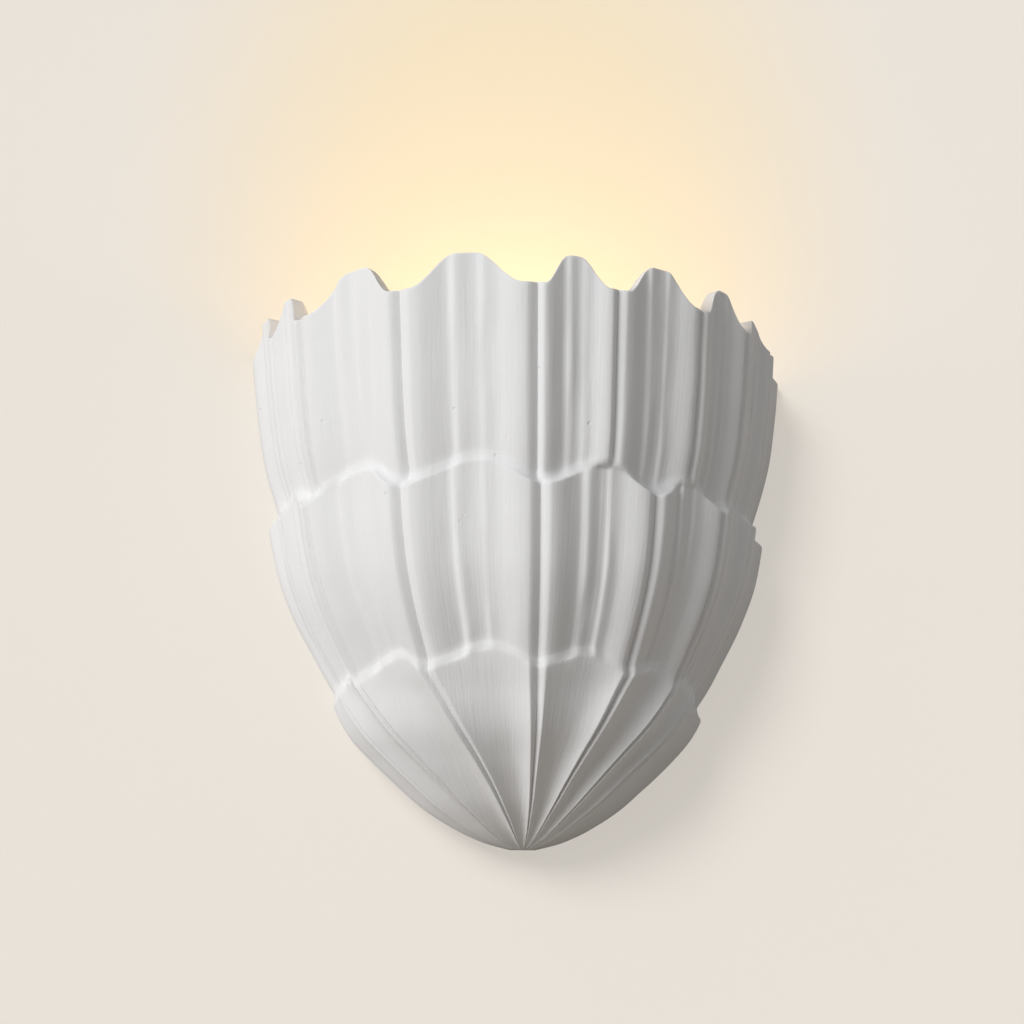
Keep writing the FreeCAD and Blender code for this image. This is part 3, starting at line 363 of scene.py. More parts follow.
def strokes_group():
    """Marks of a brush and scraper that run down the shade, from the angle round its axis and the height."""
    tree, start, end = new_group("brush_strokes", "ShaderNodeTree",
                                 [("Across", FLOAT, STROKE_WIDTH), ("Along", FLOAT, STROKE_LENGTH)],
                                 [("Strokes", FLOAT), ("Coarse", FLOAT)])
    place = tree.add("ShaderNodeTexCoord", out="Object")
    x, y, z = tree.add("ShaderNodeSeparateXYZ", place, out=None).outputs
    angle = tree.math("ARCTAN2", x, tree.math("MULTIPLY", y, -1.0))
    across = tree.math("DIVIDE", tree.math("MULTIPLY", angle, STROKED_RADIUS), start["Across"])
    along = tree.math("DIVIDE", z, start["Along"])
    fine = tree.add("ShaderNodeTexNoise", tree.add("ShaderNodeCombineXYZ", across, along, 0.0),
                    Scale=1.0, Detail=3.0, Roughness=0.6)
    wide_across = tree.math("MULTIPLY", across, COARSE_STROKES)
    coarse = tree.add("ShaderNodeTexNoise", tree.add("ShaderNodeCombineXYZ", wide_across, along, 4.0),
                      Scale=1.0, Detail=2.0, Roughness=0.5)
    tree.put(end["Strokes"], fine)
    tree.put(end["Coarse"], coarse)
    return tree.tree


BLOTCHES = blotches_group()
STROKES = strokes_group()


def plaster_material():
    """Cast plaster, brushed down its height, with a pinhole here and there."""
    made, tree, bsdf = material("cast_plaster")
    patch, grain = use_group(tree, BLOTCHES, Patch_Size=0.035, Grain_Size=0.0012)
    strokes, coarse = use_group(tree, STROKES, Across=STROKE_WIDTH, Along=STROKE_LENGTH)
    place = tree.add("ShaderNodeTexCoord", out="Object")
    from_middle = tree.add("ShaderNodeTexVoronoi", place, Scale=PINHOLE_CELLS, Randomness=1.0)
    pinhole = tree.add("ShaderNodeMapRange", from_middle, *PINHOLE_EDGE, 1.0, 0.0)
    patches = tree.add("ShaderNodeTexNoise", place, Scale=PINHOLE_PATCHES, Detail=0.0)
    pinhole = tree.math("MULTIPLY", pinhole, tree.math("GREATER_THAN", patches, PINHOLE_RARITY))
    share = tree.weighted_sum((patch, strokes), TONE_PARTS)
    tree.put(bsdf.inputs["Base Color"], mix_colors(tree, share, *PLASTER_TONES))
    roughness = tree.add("ShaderNodeMapRange", grain, 0.0, 1.0, *PLASTER_ROUGHNESS)
    tree.put(bsdf.inputs["Roughness"], roughness)
    bsdf.inputs["Specular IOR Level"].default_value = 0.25
    relief = tree.weighted_sum((coarse, strokes, grain, pinhole), RELIEF_PARTS)
    bump = tree.add("ShaderNodeBump", Strength=RELIEF_STRENGTH, Distance=RELIEF_HEIGHT, Height=relief)
    tree.put(bsdf.inputs["Normal"], bump)
    return made


def grained_material(name, color, roughness, patch_size, grain_size, darkest, spread, bump_strength):
    """A material with soft darker patches, and with fine grain in its roughness and its bump."""
    made, tree, bsdf = material(name)
    patch, grain = use_group(tree, BLOTCHES, Patch_Size=patch_size, Grain_Size=grain_size)
    darker = tuple(darkest * c for c in color)
    tree.put(bsdf.inputs["Base Color"], mix_colors(tree, patch, darker, color))
    low, high = roughness * (1 - spread), min(1.0, roughness * (1 + spread))
    tree.put(bsdf.inputs["Roughness"], tree.add("ShaderNodeMapRange", grain, To_Min=low, To_Max=high))
    bump = tree.add("ShaderNodeBump", Strength=bump_strength, Distance=FINE_BUMP, Height=grain)
    tree.put(bsdf.inputs["Normal"], bump)
    return made, bsdf


def metal_material(name, color, roughness):
    """Plated or plain metal."""
    made, bsdf = grained_material(name, color, roughness, patch_size=0.008, grain_size=0.0008, darkest=0.8,
                                  spread=0.25, bump_strength=0.15)
    bsdf.inputs["Metallic"].default_value = 1.0
    return made


def moulded_material(name, color, roughness, grain_size=0.0006, bump_strength=0.1):
    """Plastic, rubber, enamel and the like."""
    made, _ = grained_material(name, color, roughness, patch_size=0.012, grain_size=grain_size, darkest=0.88,
                               spread=0.2, bump_strength=bump_strength)
    return made


def lit_material(name, color, glow, strength):
    """A part of the lamp that gives light."""
    made, tree, bsdf = material(name)
    patch, grain = use_group(tree, BLOTCHES, Patch_Size=0.02, Grain_Size=0.0006)
    darker = tuple(c * 0.96 for c in color)
    tree.put(bsdf.inputs["Base Color"], mix_colors(tree, patch, darker, color))
    tree.put(bsdf.inputs["Roughness"], tree.add("ShaderNodeMapRange", grain, To_Min=0.3, To_Max=0.42))
    bsdf.inputs["Emission Color"].default_value = (*glow, 1)
    bsdf.inputs["Emission Strength"].default_value = strength
    return made


# ---------------------------------------------------------------- the shade

def column_azimuths():
    """The columns' angles round the shade, with one on every groove and more beside it."""
    marks = sorted({-WALL_AT, WALL_AT, *UPPER_GROOVES, *LOWER_GROOVES})
    marks += [mark + side * FINE_REACH for mark in marks[1:-1] for side in (-1, 1)]
    marks = sorted(mark for mark in marks if abs(mark) <= WALL_AT)
    grooves = np.array([*UPPER_GROOVES, *LOWER_GROOVES])
    found = []
    for first, last in zip(marks, marks[1:]):
        beside = np.abs((first + last) / 2 - grooves).min() < FINE_REACH
        count = max(1, round((last - first) / (FINE_STEP if beside else COLUMN_STEP)))
        found += [first + (last - first) * k / count for k in range(count)]
    return np.array(found + [WALL_AT])


def flute_bounds(grooves):
    """The angles between which the flutes lie."""
    return np.array([-WALL_AT, *grooves, WALL_AT])


def across_flutes(grooves, azimuths):
    """For each angle: the flute's number, the share across it, its size and the size of the nearer groove."""
    bounds = flute_bounds(grooves)
    flute = np.clip(np.searchsorted(bounds, azimuths, side="right") - 1, 0, len(bounds) - 2)
    first, last = bounds[flute], bounds[flute + 1]
    share = (azimuths - first) / (last - first)
    widths = np.diff(bounds)
    size = np.sqrt(np.minimum(1.0, widths / WIDEST_FLUTE))
    beside = (widths[:-1] + widths[1:]) / 2
    groove = np.concatenate([[0], np.sqrt(np.minimum(1.0, beside / WIDEST_FLUTE)), [0]])
    near = np.where(share < 0.5, groove[flute], groove[flute + 1])
    return flute, share, size[flute], near


def edge_heights(edge, grooves, azimuths):
    """The height of a scalloped edge at each angle."""
    flute, share, _, _ = across_flutes(grooves, azimuths)
    widths = np.diff(flute_bounds(grooves))
    rise = edge["rise"] * np.minimum(1.0, widths / WIDEST_FLUTE) ** edge["narrow"] * np.array(edge["parts"])
    peak = np.array(edge["peaks"])[flute]
    near = np.minimum(share / peak, (1 - share) / (1 - peak)) / 2
    climb = np.clip((near - edge["start"]) / (edge["full"] - edge["start"]), 0, 1)
    climb = climb * climb * (3 - 2 * climb)
    angle = np.radians(azimuths)
    level = edge["height"] - edge["wall_drop"] * (1 - np.cos(angle)) - edge["right_drop"] * np.sin(angle)
    return level + rise[flute] * climb


def along_profile(profile, top, count, bottom=None, crowding=TOWARDS_LIP):
    """Rows up a profile to a top height: radii and heights for each column."""
    curve = smooth_curve(profile)
    low = profile[0][0] if bottom is None else bottom
    dense = np.linspace(profile[0][0], profile[-1][0], PROFILE_SAMPLES)
    run = np.concatenate([[0], np.cumsum(np.hypot(np.diff(dense), np.diff(curve(dense))))])
    start = np.interp(top, dense, run)
    end = np.interp(low, dense, run)
    share = np.linspace(0, 1, count)[::-1, None] ** crowding
    heights = np.interp(start + (end - start) * share, run, dense)
    return curve(heights), heights


def fading(radii):
    """How much of the flutes' depth is left at a radius."""
    shallow = np.minimum(1.0, radii / SHALLOW_OVER + SHALLOW_LEAST)
    return np.clip((radii - FADE_TO) / (FADE_FROM - FADE_TO), 0, 1) * shallow


def band(radii, heights, above, below, blend, fade, outside, rounded):
    """Rows of the shade's surface. Above and below name the flutes on the two sides of its ledge, blend is
    the share of those below, and fade is what is left of their depth. Outside is 1 outside and 0 inside, and
    rounded is the number of rows at the top that are rounded in full."""
    rounding = np.full((len(heights), 1), LITTLE_ROUNDING)
    rounding[len(heights) - rounded:] = 1.0
    rows = dict(radii=radii, blend=blend, fade=fade, outside=outside, rounding=rounding)
    rows = {name: np.broadcast_to(values, heights.shape) for name, values in rows.items()}
    return dict(rows, heights=heights, above=above, below=below)


def tier(profile, top, count, above, below, blend=0.0, **along):
    """The outside of one tier, up to its lip or to the rim."""
    radii, heights = along_profile(profile, top, count, **along)
    return band(radii, heights, above, below, blend, fading(radii), 1.0, LIP_ROWS)


def ledge(lip, profile, profile_above, above, below):
    """The cove from a tier's lip in to the tier above it."""
    turn = np.linspace(0, 1, LEDGE_ROWS + 2)[1:-1, None]
    lip_radius, wall_radius = smooth_curve(profile)(lip), smooth_curve(profile_above)(lip + LEDGE_RISE)
    inward = np.sin(turn * math.pi / 2)
    radii = lip_radius + (wall_radius - lip_radius) * inward
    heights = lip + LEDGE_RISE * (LEDGE_SLANT * turn + (1 - LEDGE_SLANT) * (1 - np.cos(turn * math.pi / 2)))
    return band(radii, heights, above, below, 1 - inward, fading(radii), 1.0, LEDGE_ROWS)


def over_the_rim(rim):
    """The rim's cut face and the cavity under it."""
    turn = np.linspace(0, 1, RIM_ROWS + 2)[1:-1, None]
    outer = smooth_curve(UPPER_PROFILE)(rim)
    inner = smooth_curve(CAVITY_PROFILE)(rim - RIM_DROP)
    face = band(outer + (inner - outer) * turn, rim - RIM_DROP * turn, "upper", "upper", blend=0.0,
                fade=1 - turn, outside=1 - turn, rounded=RIM_ROWS)
    radii, heights = along_profile(CAVITY_PROFILE, rim - RIM_DROP, INNER_ROWS, crowding=0.8)
    cavity = band(radii[::-1], heights[::-1], "upper", "upper", blend=0.0, fade=0.0, outside=0.0, rounded=0)
    return [face, cavity]


def shade_rows(azimuths):
    """The shade's surface before its flutes, row by row from the tip up the outside, over the rim and down
    the inside, with what the flutes' nodes read."""
    rim = edge_heights(RIM_EDGE, UPPER_GROOVES, azimuths)
    lip_middle = edge_heights(MIDDLE_EDGE, LOWER_GROOVES, azimuths)
    lip_lower = edge_heights(LOWER_EDGE, LOWER_GROOVES, azimuths)
    bands = [tier(LOWER_PROFILE, lip_lower, LOWER_ROWS, "lower", "plain", blend=1.0, crowding=0.9),
             ledge(lip_lower, LOWER_PROFILE, MIDDLE_PROFILE, "lower", "plain"),
             tier(MIDDLE_PROFILE, lip_middle, MIDDLE_ROWS, "lower", "plain", bottom=lip_lower + LEDGE_RISE),
             ledge(lip_middle, MIDDLE_PROFILE, UPPER_PROFILE, "upper", "lower"),
             tier(UPPER_PROFILE, rim, UPPER_ROWS, "upper", "lower", bottom=lip_middle + LEDGE_RISE),
             *over_the_rim(rim)]
    upper = np.stack(across_flutes(UPPER_GROOVES, azimuths)[1:], -1)
    lower = np.stack(across_flutes(LOWER_GROOVES, azimuths)[1:], -1)
    flutes = {"upper": upper, "lower": lower, "plain": lower}
    beaded = {"upper": 1.0, "lower": 1.0, "plain": 0.0}

    def joined(values):
        return np.concatenate([np.broadcast_to(value, (*part["heights"].shape, 3))
                               for value, part in zip(values, bands)])

    rows = {name: np.concatenate([part[name] for part in bands])
            for name in ("radii", "heights", "blend", "fade", "outside", "rounding")}
    rows["above"] = joined(flutes[part["above"]] for part in bands)
    rows["below"] = joined(flutes[part["below"]] for part in bands)
    rows["beads"] = joined((beaded[part["above"]], beaded[part["below"]], 0.0) for part in bands)
    return rows


def lean(heights):
    """How far the shade's axis stands to the right at a height."""
    top = UPPER_PROFILE[-1][0]
    return TIP_LEAN * ((top - heights) / top) ** 2


def gathered(azimuths, heights, outside):
    """The angles of the columns at each height. Low on the outside they close up, so that the flutes run
    straight to the tip as seen from the front."""
    share = np.clip(1 - heights / GATHER_BELOW, 0, 1) * GATHER_SHARE * outside
    return azimuths * (1 - share * (1 - np.abs(azimuths / WALL_AT) ** 3))


def shade_points(rows, angle):
    """The rows' points, the tip and the middle of the cavity's floor."""
    x = lean(rows["heights"]) * rows["outside"] + rows["radii"] * np.sin(angle)
    y = -rows["radii"] * np.cos(angle)
    y[:, 0] = y[:, -1] = 0.0
    z = rows["heights"] - TIP_BELOW_ORIGIN
    tip = [TIP_LEAN, 0.0, -TIP_BELOW_ORIGIN]
    floor = [0.0, 0.0, CAVITY_PROFILE[0][0] - TIP_BELOW_ORIGIN]
    return np.concatenate([np.stack([x, y, z], -1).reshape(-1, 3), [tip, floor]]) * MM


def shade_faces(points, rows, columns):
    """Faces between the rows, round the tip and the cavity's floor, and across the flat edge on the wall."""
    index = np.arange(rows * columns).reshape(rows, columns)
    tip, floor = rows * columns, rows * columns + 1
    corners = [index[:-1, :-1], index[:-1, 1:], index[1:, 1:], index[1:, :-1]]
    faces = np.stack(corners, -1).reshape(-1, 4).tolist()
    faces += [[tip, index[0, k + 1], index[0, k]] for k in range(columns - 1)]
    faces += [[floor, index[-1, k], index[-1, k + 1]] for k in range(columns - 1)]
    loop = [tip] + index[:, 0].tolist() + [floor] + index[::-1, -1].tolist()
    outline = [Vector((points[i][0], points[i][2], 0.0)) for i in loop]
    return faces + [[loop[i] for i in triangle] for triangle in tessellate_polygon([outline])]


def shade_base():
    """The shade without its flutes, carrying what the flutes' nodes read."""
    azimuths = column_azimuths()
    rows = shade_rows(azimuths)
    angle = np.radians(gathered(azimuths, rows["heights"], rows["outside"]))
    rows["outward"] = np.stack([np.sin(angle), -np.cos(angle), np.zeros(angle.shape)], -1)
    rows["outward"][:, 0] = (-1, 0, 0)
    rows["outward"][:, -1] = (1, 0, 0)
    points = shade_points(rows, angle)
    obj = mesh_object("plaster_shell", points, shade_faces(points, *angle.shape))
    for names, kind, key, size in ((("above", "below", "beads", "outward"), "FLOAT_VECTOR", "vector", 3),
                                   (("blend", "fade", "rounding"), "FLOAT", "value", 1)):
        for name in names:
            values = np.append(rows[name].ravel(), np.zeros(2 * size))      # none at the tip and the floor
            attribute = obj.data.attributes.new(name, kind, "POINT")
            attribute.data.foreach_set(key, values.astype(np.float32))
    return obj


def flute_section_group():
    """How far a point lies below its flute's crests. Flute holds the share across, the flute's size and the
    size of the nearer groove."""
    tree, start, end = new_group("flute_section", "GeometryNodeTree",
                                 [("Flute", VECTOR), ("Beaded", FLOAT, 1.0), ("Groove Depth", FLOAT),
                                  ("Hollow Depth", FLOAT), ("Bead Height", FLOAT)],
                                 [("Depth", FLOAT)])
    share, size, groove = tree.add("ShaderNodeSeparateXYZ", start["Flute"], out=None).outputs
    near = tree.math("MINIMUM", share, tree.math("SUBTRACT", 1.0, share))
    cut = tree.math("SUBTRACT", 1.0, tree.math("DIVIDE", near, CREST_AT), clamp=True)
    cut = tree.math("MULTIPLY", tree.math("POWER", cut, GROOVE_FLARE),
                    tree.math("MULTIPLY", groove, start["Groove Depth"]))
    steep = tree.smooth_step(near, CREST_AT, HOLLOW_AT)
    before = tree.add("ShaderNodeMapRange", share, CREST_AT, DEEPEST_AT, 1.0, 0.0)
    after = tree.add("ShaderNodeMapRange", share, 1 - CREST_AT, DEEPEST_AT, 1.0, 0.0)
    plain = tree.math("SUBTRACT", 1.0, tree.math("POWER", tree.math("MAXIMUM", before, after), 2.0))
    dish = tree.math("MULTIPLY_ADD", tree.math("SUBTRACT", steep, plain), start["Beaded"], plain)
    dish = tree.math("MULTIPLY", tree.math("MULTIPLY", dish, size), start["Hollow Depth"])
    bead = 0.0
    for place, part in BEADS:
        front = tree.smooth_step(share, place - BEAD_FRONT, place, 0.0, part)
        back = tree.smooth_step(share, place, place + BEAD_BACK, part, 0.0)
        bead = tree.math("ADD", bead, tree.math("MINIMUM", front, back))
    bead = tree.math("MULTIPLY", tree.math("MULTIPLY", bead, size),
                     tree.math("MULTIPLY", start["Beaded"], start["Bead Height"]))
    tree.put(end["Depth"], tree.math("SUBTRACT", tree.math("ADD", cut, dish), bead))
    return tree.tree


def named(tree, name, kind="FLOAT"):
    """A value that the shade's points carry."""
    return tree.add("GeometryNodeInputNamedAttribute", name, data_type=kind)


def flute_depth(tree, start):
    """How deep a point is pressed in: its flute's section, blended with the one below the ledge, and the
    unevenness of hand work."""
    place = tree.add("GeometryNodeInputPosition")
    stretched = tree.vector("MULTIPLY", place, (1.0, 1.0, LENGTHWISE))
    patches = tree.add("ShaderNodeTexNoise", stretched, Scale=BEAD_PATCHES, Detail=1.0)
    patches = tree.add("ShaderNodeMapRange", patches, *BEAD_PATCH_EDGES, *BEAD_PATCH_PARTS)
    bead_height = tree.math("MULTIPLY", start["Bead Height"], patches)
    beads = tree.add("ShaderNodeSeparateXYZ", named(tree, "beads", "FLOAT_VECTOR"), out=None).outputs
    section = flute_section_group()
    depths = []
    for name, beaded in (("above", beads[0]), ("below", beads[1])):
        node = tree.add("GeometryNodeGroup", out=None)
        node.node_tree = section
        values = {"Flute": named(tree, name, "FLOAT_VECTOR"), "Beaded": beaded, "Bead Height": bead_height,
                  "Groove Depth": start["Groove Depth"], "Hollow Depth": start["Hollow Depth"]}
        for socket, value in values.items():
            tree.put(node.inputs[socket], value)
        depths.append(node.outputs["Depth"])
    change = tree.math("SUBTRACT", depths[1], depths[0])
    depth = tree.math("MULTIPLY_ADD", change, named(tree, "blend"), depths[0])
    wave = tree.add("ShaderNodeTexNoise", stretched, Scale=WAVES, Detail=2.0, Roughness=0.5)
    wave = tree.math("MULTIPLY", tree.math("SUBTRACT", wave, 0.5), start["Unevenness"])
    fade = named(tree, "fade")
    return tree.math("ADD", tree.math("MULTIPLY", depth, fade), tree.math("MULTIPLY", wave, fade))


def softened(tree, geometry, softening):
    """Rounds the lips and the rim, and leaves the edge on the wall where it is."""
    place = tree.add("GeometryNodeInputPosition")
    blur = tree.add("GeometryNodeBlurAttribute", data_type="FLOAT_VECTOR", out=None)
    blur_in, blur_out = ([socket for socket in sockets if socket.type == "VECTOR"][0]
                         for sockets in (blur.inputs, blur.outputs))
    tree.put(blur_in, place)
    tree.put(blur.inputs["Iterations"], ROUNDING_STEPS)
    tree.put(blur.inputs["Weight"], tree.math("MULTIPLY", named(tree, "rounding"), softening))
    off_the_wall = tree.math("LESS_THAN", tree.add("ShaderNodeSeparateXYZ", place, out="Y"), -ON_THE_WALL)
    rounded = mix(tree, "VECTOR", off_the_wall, place, blur_out)
    return tree.add("GeometryNodeSetPosition", geometry, Position=rounded)


def flutes_tree():
    """Presses the flutes into the shade, with the unevenness of hand work."""
    tree, start, end = new_group("shade_flutes", "GeometryNodeTree",
                                 [("Geometry", GEOMETRY), ("Groove Depth", FLOAT), ("Hollow Depth", FLOAT),
                                  ("Bead Height", FLOAT), ("Unevenness", FLOAT), ("Softening", FLOAT, 1.0),
                                  ("Finish", MATERIAL)],
                                 [("Geometry", GEOMETRY)])
    inward = tree.math("MULTIPLY", flute_depth(tree, start), -1.0)
    move = tree.vector("SCALE", named(tree, "outward", "FLOAT_VECTOR"), inward)
    pressed = tree.add("GeometryNodeSetPosition", start["Geometry"], Offset=move)
    real = tree.add("GeometryNodeRealizeInstances", softened(tree, pressed, start["Softening"]))
    tree.put(end["Geometry"], tree.add("GeometryNodeSetMaterial", real, Material=start["Finish"]))
    return tree.tree


def plaster_shell(finish):
    """The shade with its flutes pressed in."""
    obj = shade_base()
    modifier = obj.modifiers.new("flutes", "NODES")
    modifier.node_group = flutes_tree()
    set_inputs(modifier, {"Groove Depth": GROOVE_DEPTH * MM, "Hollow Depth": HOLLOW_DEPTH * MM,
                          "Bead Height": BEAD_HEIGHT * MM, "Unevenness": UNEVENNESS * MM, "Softening": 1.0,
                          "Finish": finish})
    apply_nodes(obj)
    obj.data.set_sharp_from_angle(angle=math.radians(SHADE_SHARP_OVER))
    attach(obj, "shade")
    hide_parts("plaster_shade")
    return obj


def plaster_lugs(finish):
    """The two cast lugs inside the back edge, in front of the hanger bar's ends."""
    low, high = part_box("hanger_bar")
    back, middle = low[1], (low[2] + high[2]) / 2
    inner, outer, half, deep = (size * MM for size in (LUG_INNER, LUG_OUTER, LUG_HEIGHT / 2, LUG_DEPTH))
    mesh = bpy.data.meshes.new("plaster_lugs")
    work = bmesh.new()
    for side in (-1, 1):
        made = bmesh.ops.create_cube(work, size=1.0)["verts"]
        for vert in made:
            vert.co.x = side * (outer if vert.co.x > 0 else inner)
            vert.co.y = back if vert.co.y > 0 else back - deep
            vert.co.z = middle + (half if vert.co.z > 0 else -half)
    edges = [edge for edge in work.edges if all(abs(abs(v.co.x) - inner) < SAME_PLACE for v in edge.verts)
             and not all(abs(v.co.y - back) < SAME_PLACE for v in edge.verts)]
    bmesh.ops.bevel(work, geom=edges, offset=LUG_CORNER * MM, segments=LUG_CORNER_STEPS, profile=0.5,
                    affect="EDGES")
    bmesh.ops.recalc_face_normals(work, faces=work.faces)
    work.to_mesh(mesh)
    work.free()
    obj = link(bpy.data.objects.new("plaster_lugs", mesh))
    mesh.materials.append(finish)
    mesh.polygons.foreach_set("use_smooth", [True] * len(mesh.polygons))
    mesh.set_sharp_from_angle(angle=math.radians(LUGS_SHARP_OVER))
    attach(obj, "shade")
    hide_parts("plaster_shade")
    return obj


def thread_tree():
    """A rib wound round an upright axis, as a screw thread."""
    tree, start, end = new_group("screw_thread", "GeometryNodeTree",
                                 [("Geometry", GEOMETRY), ("Radius", FLOAT), ("Pitch", FLOAT),
                                  ("Turns", FLOAT), ("Rib Radius", FLOAT), ("Place", VECTOR),
                                  ("Finish", MATERIAL)],
                                 [("Geometry", GEOMETRY)])
    height = tree.math("MULTIPLY", start["Turns"], start["Pitch"])
    spiral = tree.add("GeometryNodeCurveSpiral", Resolution=THREAD_STEPS, Rotations=start["Turns"],
                      Start_Radius=start["Radius"], End_Radius=start["Radius"], Height=height)
    rib = tree.add("GeometryNodeCurvePrimitiveCircle", Resolution=RIB_SIDES, Radius=start["Rib Radius"])
    wound = tree.add("GeometryNodeCurveToMesh", spiral, rib, Fill_Caps=True)
    placed = tree.add("GeometryNodeSetPosition", wound, Offset=start["Place"])
    real = tree.add("GeometryNodeRealizeInstances", placed)
    tree.put(end["Geometry"], tree.add("GeometryNodeSetMaterial", real, Material=start["Finish"]))
    return tree.tree


def thread(name, body, node, slot, tree, pitch, rib, sunk, clear):
    """A thread on a round node. Rib is its radius, sunk is how far its middle lies under the node's surface,
    and clear is the length left free at each end."""
    low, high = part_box(node)
    radius = (high[0] - low[0]) / 2
    turns = (high[2] - low[2] - 2 * clear * MM) / (pitch * MM)
    obj = mesh_object(name, [(0, 0, 0)], [])
    modifier = obj.modifiers.new("thread", "NODES")
    modifier.node_group = tree
    place = ((low[0] + high[0]) / 2, (low[1] + high[1]) / 2, low[2] + clear * MM)
    set_inputs(modifier, {"Radius": radius - sunk * MM, "Pitch": pitch * MM, "Turns": turns,
                          "Rib Radius": rib * MM, "Place": place, "Finish": FINISHES[slot]})
    apply_nodes(obj)
    obj.data.polygons.foreach_set("use_smooth", [True] * len(obj.data.polygons))
    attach(obj, body)
    return obj


# ---------------------------------------------------------------- camera, light and wall

def camera():
    """Stands at the photograph's angles, and shows the frame's origin at its pixel and the object at its
    scale."""
    azimuth, elevation = math.radians(VIEW_AZIMUTH), math.radians(VIEW_ELEVATION)
    back = Vector((math.sin(azimuth) * math.cos(elevation), -math.cos(azimuth) * math.cos(elevation),
                   math.sin(elevation)))
    right = Vector((math.cos(azimuth), math.sin(azimuth), 0.0))
    up = back.cross(right)
    middle = IMAGE_PIXELS / 2
    aim = right * (middle - ORIGIN_PIXEL[0]) * MM_PER_PIXEL * MM
    aim += up * (ORIGIN_PIXEL[1] - middle) * MM_PER_PIXEL * MM
    data = bpy.data.cameras.new("camera")
    data.sensor_width = SENSOR
    data.lens = SENSOR * CAMERA_DISTANCE / (IMAGE_PIXELS * MM_PER_PIXEL * MM)
    obj = link(bpy.data.objects.new("camera", data))
    obj.location = aim + back * CAMERA_DISTANCE
    obj.rotation_mode = "QUATERNION"
    obj.rotation_quaternion = (-back).to_track_quat("-Z", "Y")
    data.clip_start = CLIP_NEAR
    data.clip_end = CLIP_FAR
    bpy.context.scene.camera = obj


def painted_lamp_glow(tree):
    """How much painted glow of the lamp a point of the wall gets: most over the lamp, and none lower down."""
    place = tree.add("ShaderNodeTexCoord", out="Object")
    away = tree.vector("MULTIPLY", tree.vector("SUBTRACT", place, GLOW_MIDDLE), GLOW_STRETCH)
    near = tree.smooth_step(tree.vector("LENGTH", away), *GLOW_REACH, 1.0, 0.0)
    high = tree.smooth_step(tree.add("ShaderNodeSeparateXYZ", place, out="Z"), *GLOW_HEIGHTS)
    return tree.math("MULTIPLY", near, high)


def wall_material():
    """Cream paint with a painted glow of the lamp: over the lamp the paint and the wall's own light are
    tinted yellow-orange, standing for the lamp's light on it. A share of what is seen is the wall's own
    light, which keeps it even, and the rest takes the object's shadow and the lamp's light. From behind it
    isn't seen, and it lets the light through to the faces that rest on it."""
    made, tree, bsdf = material("wall_paint")
    patch, _ = use_group(tree, BLOTCHES, Patch_Size=0.15, Grain_Size=0.002)
    # painted glow of the lamp: the paint and the wall's own light are tinted yellow-orange over the lamp
    painted_glow = painted_lamp_glow(tree)
    light_path = tree.add("ShaderNodeLightPath", out=None).outputs
    camera_ray = light_path["Is Camera Ray"]
    bounce = tree.add("ShaderNodeMapRange", camera_ray, To_Min=BOUNCE_SHARE, To_Max=1.0)
    paint = mix_colors(tree, painted_glow, mix_colors(tree, patch, *WALL_CREAM), WALL_PAINTED_GLOW)
    tree.put(bsdf.inputs["Base Color"], tree.vector("SCALE", paint, bounce))
    bsdf.inputs["Roughness"].default_value = 0.95
    bsdf.inputs["Specular IOR Level"].default_value = 0.1
    even = tree.add("ShaderNodeEmission", Color=mix_colors(tree, painted_glow, OWN_CREAM, OWN_PAINTED_GLOW), Strength=1.0)
    own_share = tree.math("MULTIPLY", camera_ray, OWN_SHARE)
    front = tree.add("ShaderNodeMixShader", own_share, bsdf.outputs[0], even)
    behind = tree.add("ShaderNodeNewGeometry", out="Backfacing")
    close = tree.math("LESS_THAN", light_path["Ray Length"], CLOSE_BEHIND)
    close = tree.math("MULTIPLY", close, tree.math("SUBTRACT", 1.0, camera_ray))
    open_to_light = tree.math("MAXIMUM", behind, close)
    shown = tree.add("ShaderNodeMixShader", open_to_light, front, tree.add("ShaderNodeBsdfTransparent"))
    tree.put(made.node_tree.nodes["Material Output"].inputs["Surface"], shown)
    return made


def plane(name, corners, finish):
    """A flat piece of the stage."""
    obj = mesh_object(name, corners, [(0, 1, 2, 3)], smooth=False)
    obj.data.materials.append(finish)
    return obj


def stage():
    """The wall behind the sconce and the floor far below it."""
    finish = wall_material()
    back, low = WALL_GAP, FLOOR_HEIGHT
    foot = [(-STAGE_SIDE, back, low), (STAGE_SIDE, back, low)]
    wall = plane("wall", foot + [(STAGE_SIDE, back, STAGE_TOP), (-STAGE_SIDE, back, STAGE_TOP)], finish)
    front = [(-STAGE_SIDE, STAGE_FRONT, low), (STAGE_SIDE, STAGE_FRONT, low)]
    floor = plane("floor", [foot[0], *front, foot[1]], finish)
    return [wall, floor]


def soft_sun(name, azimuth, elevation, spread, strength, color):
    """A large soft light far away. The azimuth is to the left where it is negative."""
    data = bpy.data.lights.new(name, "SUN")
    data.energy = strength
    data.angle = math.radians(spread)
    data.color = color
    obj = link(bpy.data.objects.new(name, data))
    across, up = math.radians(azimuth), math.radians(elevation)
    towards = Vector((-math.sin(across) * math.cos(up), math.cos(across) * math.cos(up), -math.sin(up)))
    obj.rotation_mode = "QUATERNION"
    obj.rotation_quaternion = towards.to_track_quat("-Z", "Y")
    return obj


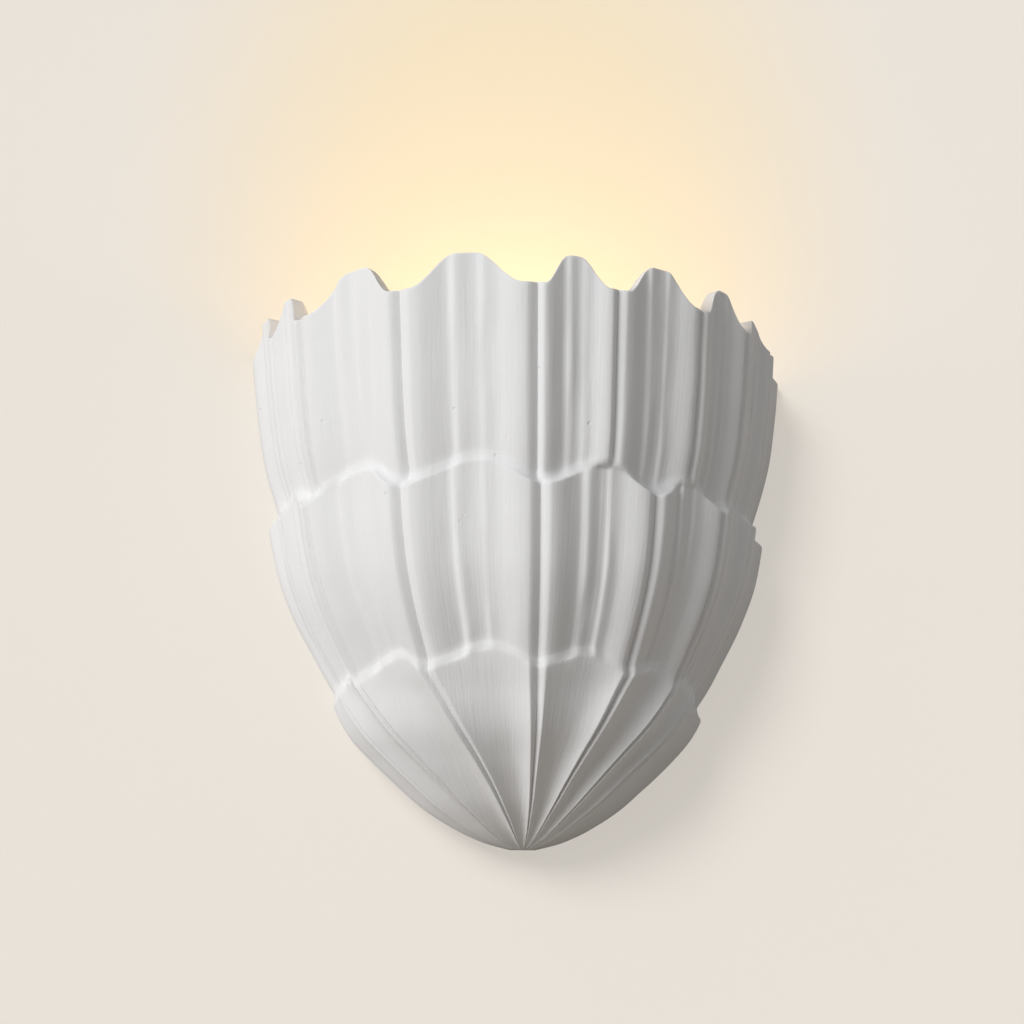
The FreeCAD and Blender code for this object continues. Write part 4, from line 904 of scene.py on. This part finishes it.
def lights(backdrop):
    """A soft light from the left for the object, one for the wall that gives it its short shadow, and an even
    sky."""
    side = soft_sun("side", **SIDE_LIGHT)
    wall = soft_sun("wall_light", **WALL_LIGHT)
    for light, state, linked in ((side, "EXCLUDE", backdrop), (wall, "INCLUDE", backdrop[:1])):
        receivers = bpy.data.collections.new(light.name + "_receivers")
        for obj in linked:
            receivers.objects.link(obj)
        for entry in receivers.collection_objects:
            entry.light_linking.link_state = state
        light.light_linking.receiver_collection = receivers
    world = bpy.data.worlds.new("studio")
    world.use_nodes = True
    sky = world.node_tree.nodes["Background"].inputs
    sky["Color"].default_value = (*SKY_COLOR, 1)
    sky["Strength"].default_value = SKY_STRENGTH
    bpy.context.scene.world = world


# ---------------------------------------------------------------- everything

camera()
lights(stage())

FINISHES = {
    "plaster": plaster_material(),
    "zinc_steel": metal_material("zinc_plate", (0.62, 0.62, 0.60), 0.35),
    "plate_steel": moulded_material("white_powder_coat", (0.78, 0.78, 0.76), 0.45, grain_size=0.0009,
                                    bump_strength=0.25),
    "brass": metal_material("plain_brass", (0.75, 0.56, 0.26), 0.3),
    "rubber": moulded_material("black_rubber", (0.03, 0.03, 0.03), 0.75),
    "block_plastic": moulded_material("white_nylon", (0.78, 0.78, 0.74), 0.4),
    "tinned_copper": metal_material("tinned_copper", (0.72, 0.70, 0.66), 0.3),
    "brown_sleeve": moulded_material("brown_sleeve", (0.16, 0.07, 0.03), 0.5),
    "blue_sleeve": moulded_material("blue_sleeve", (0.03, 0.12, 0.42), 0.5),
    "green_yellow_sleeve": moulded_material("green_yellow_sleeve", (0.45, 0.55, 0.05), 0.5),
    "holder_plastic": moulded_material("white_thermoset", (0.80, 0.79, 0.75), 0.35),
    "ceramic": moulded_material("glazed_ceramic", (0.82, 0.81, 0.77), 0.2),
    "nickel": metal_material("nickel_plate", (0.70, 0.69, 0.66), 0.25),
    "black_glass": moulded_material("black_glass", (0.02, 0.02, 0.02), 0.15),
    "lamp_plastic": moulded_material("white_lamp_plastic", (0.82, 0.82, 0.80), 0.5),
    "diffuser": lit_material("lit_diffuser", (0.9, 0.85, 0.75), LAMP_GLOW, LAMP_STRENGTH),
    "led_board": moulded_material("led_board_coat", (0.85, 0.85, 0.85), 0.4),
    "led_chip": lit_material("led_phosphor", (0.9, 0.7, 0.2), CHIP_GLOW, CHIP_STRENGTH),
}

for subpart in frame["record"]["subparts"]:
    node = nodes[subpart["node"]]
    node.data.materials.clear()
    node.data.materials.append(FINISHES[subpart["material_slot"]])

plaster_shell(FINISHES["plaster"])
plaster_lugs(FINISHES["plaster"])
winding = thread_tree()
# The lamp's E27 cap has seven turns to the inch, and the M10 nipple has one to the millimetre.
thread("cap_thread", "lamp", "lamp_cap", "nickel", winding, pitch=3.63, rib=1.2, sunk=0.85, clear=2.2)
thread("nipple_thread", "bracket", "nipple", "zinc_steel", winding, pitch=1.0, rib=0.32, sunk=0.2, clear=0.5)

scene = bpy.context.scene
scene.view_settings.view_transform = "Standard"
bpy.context.view_layer.update()
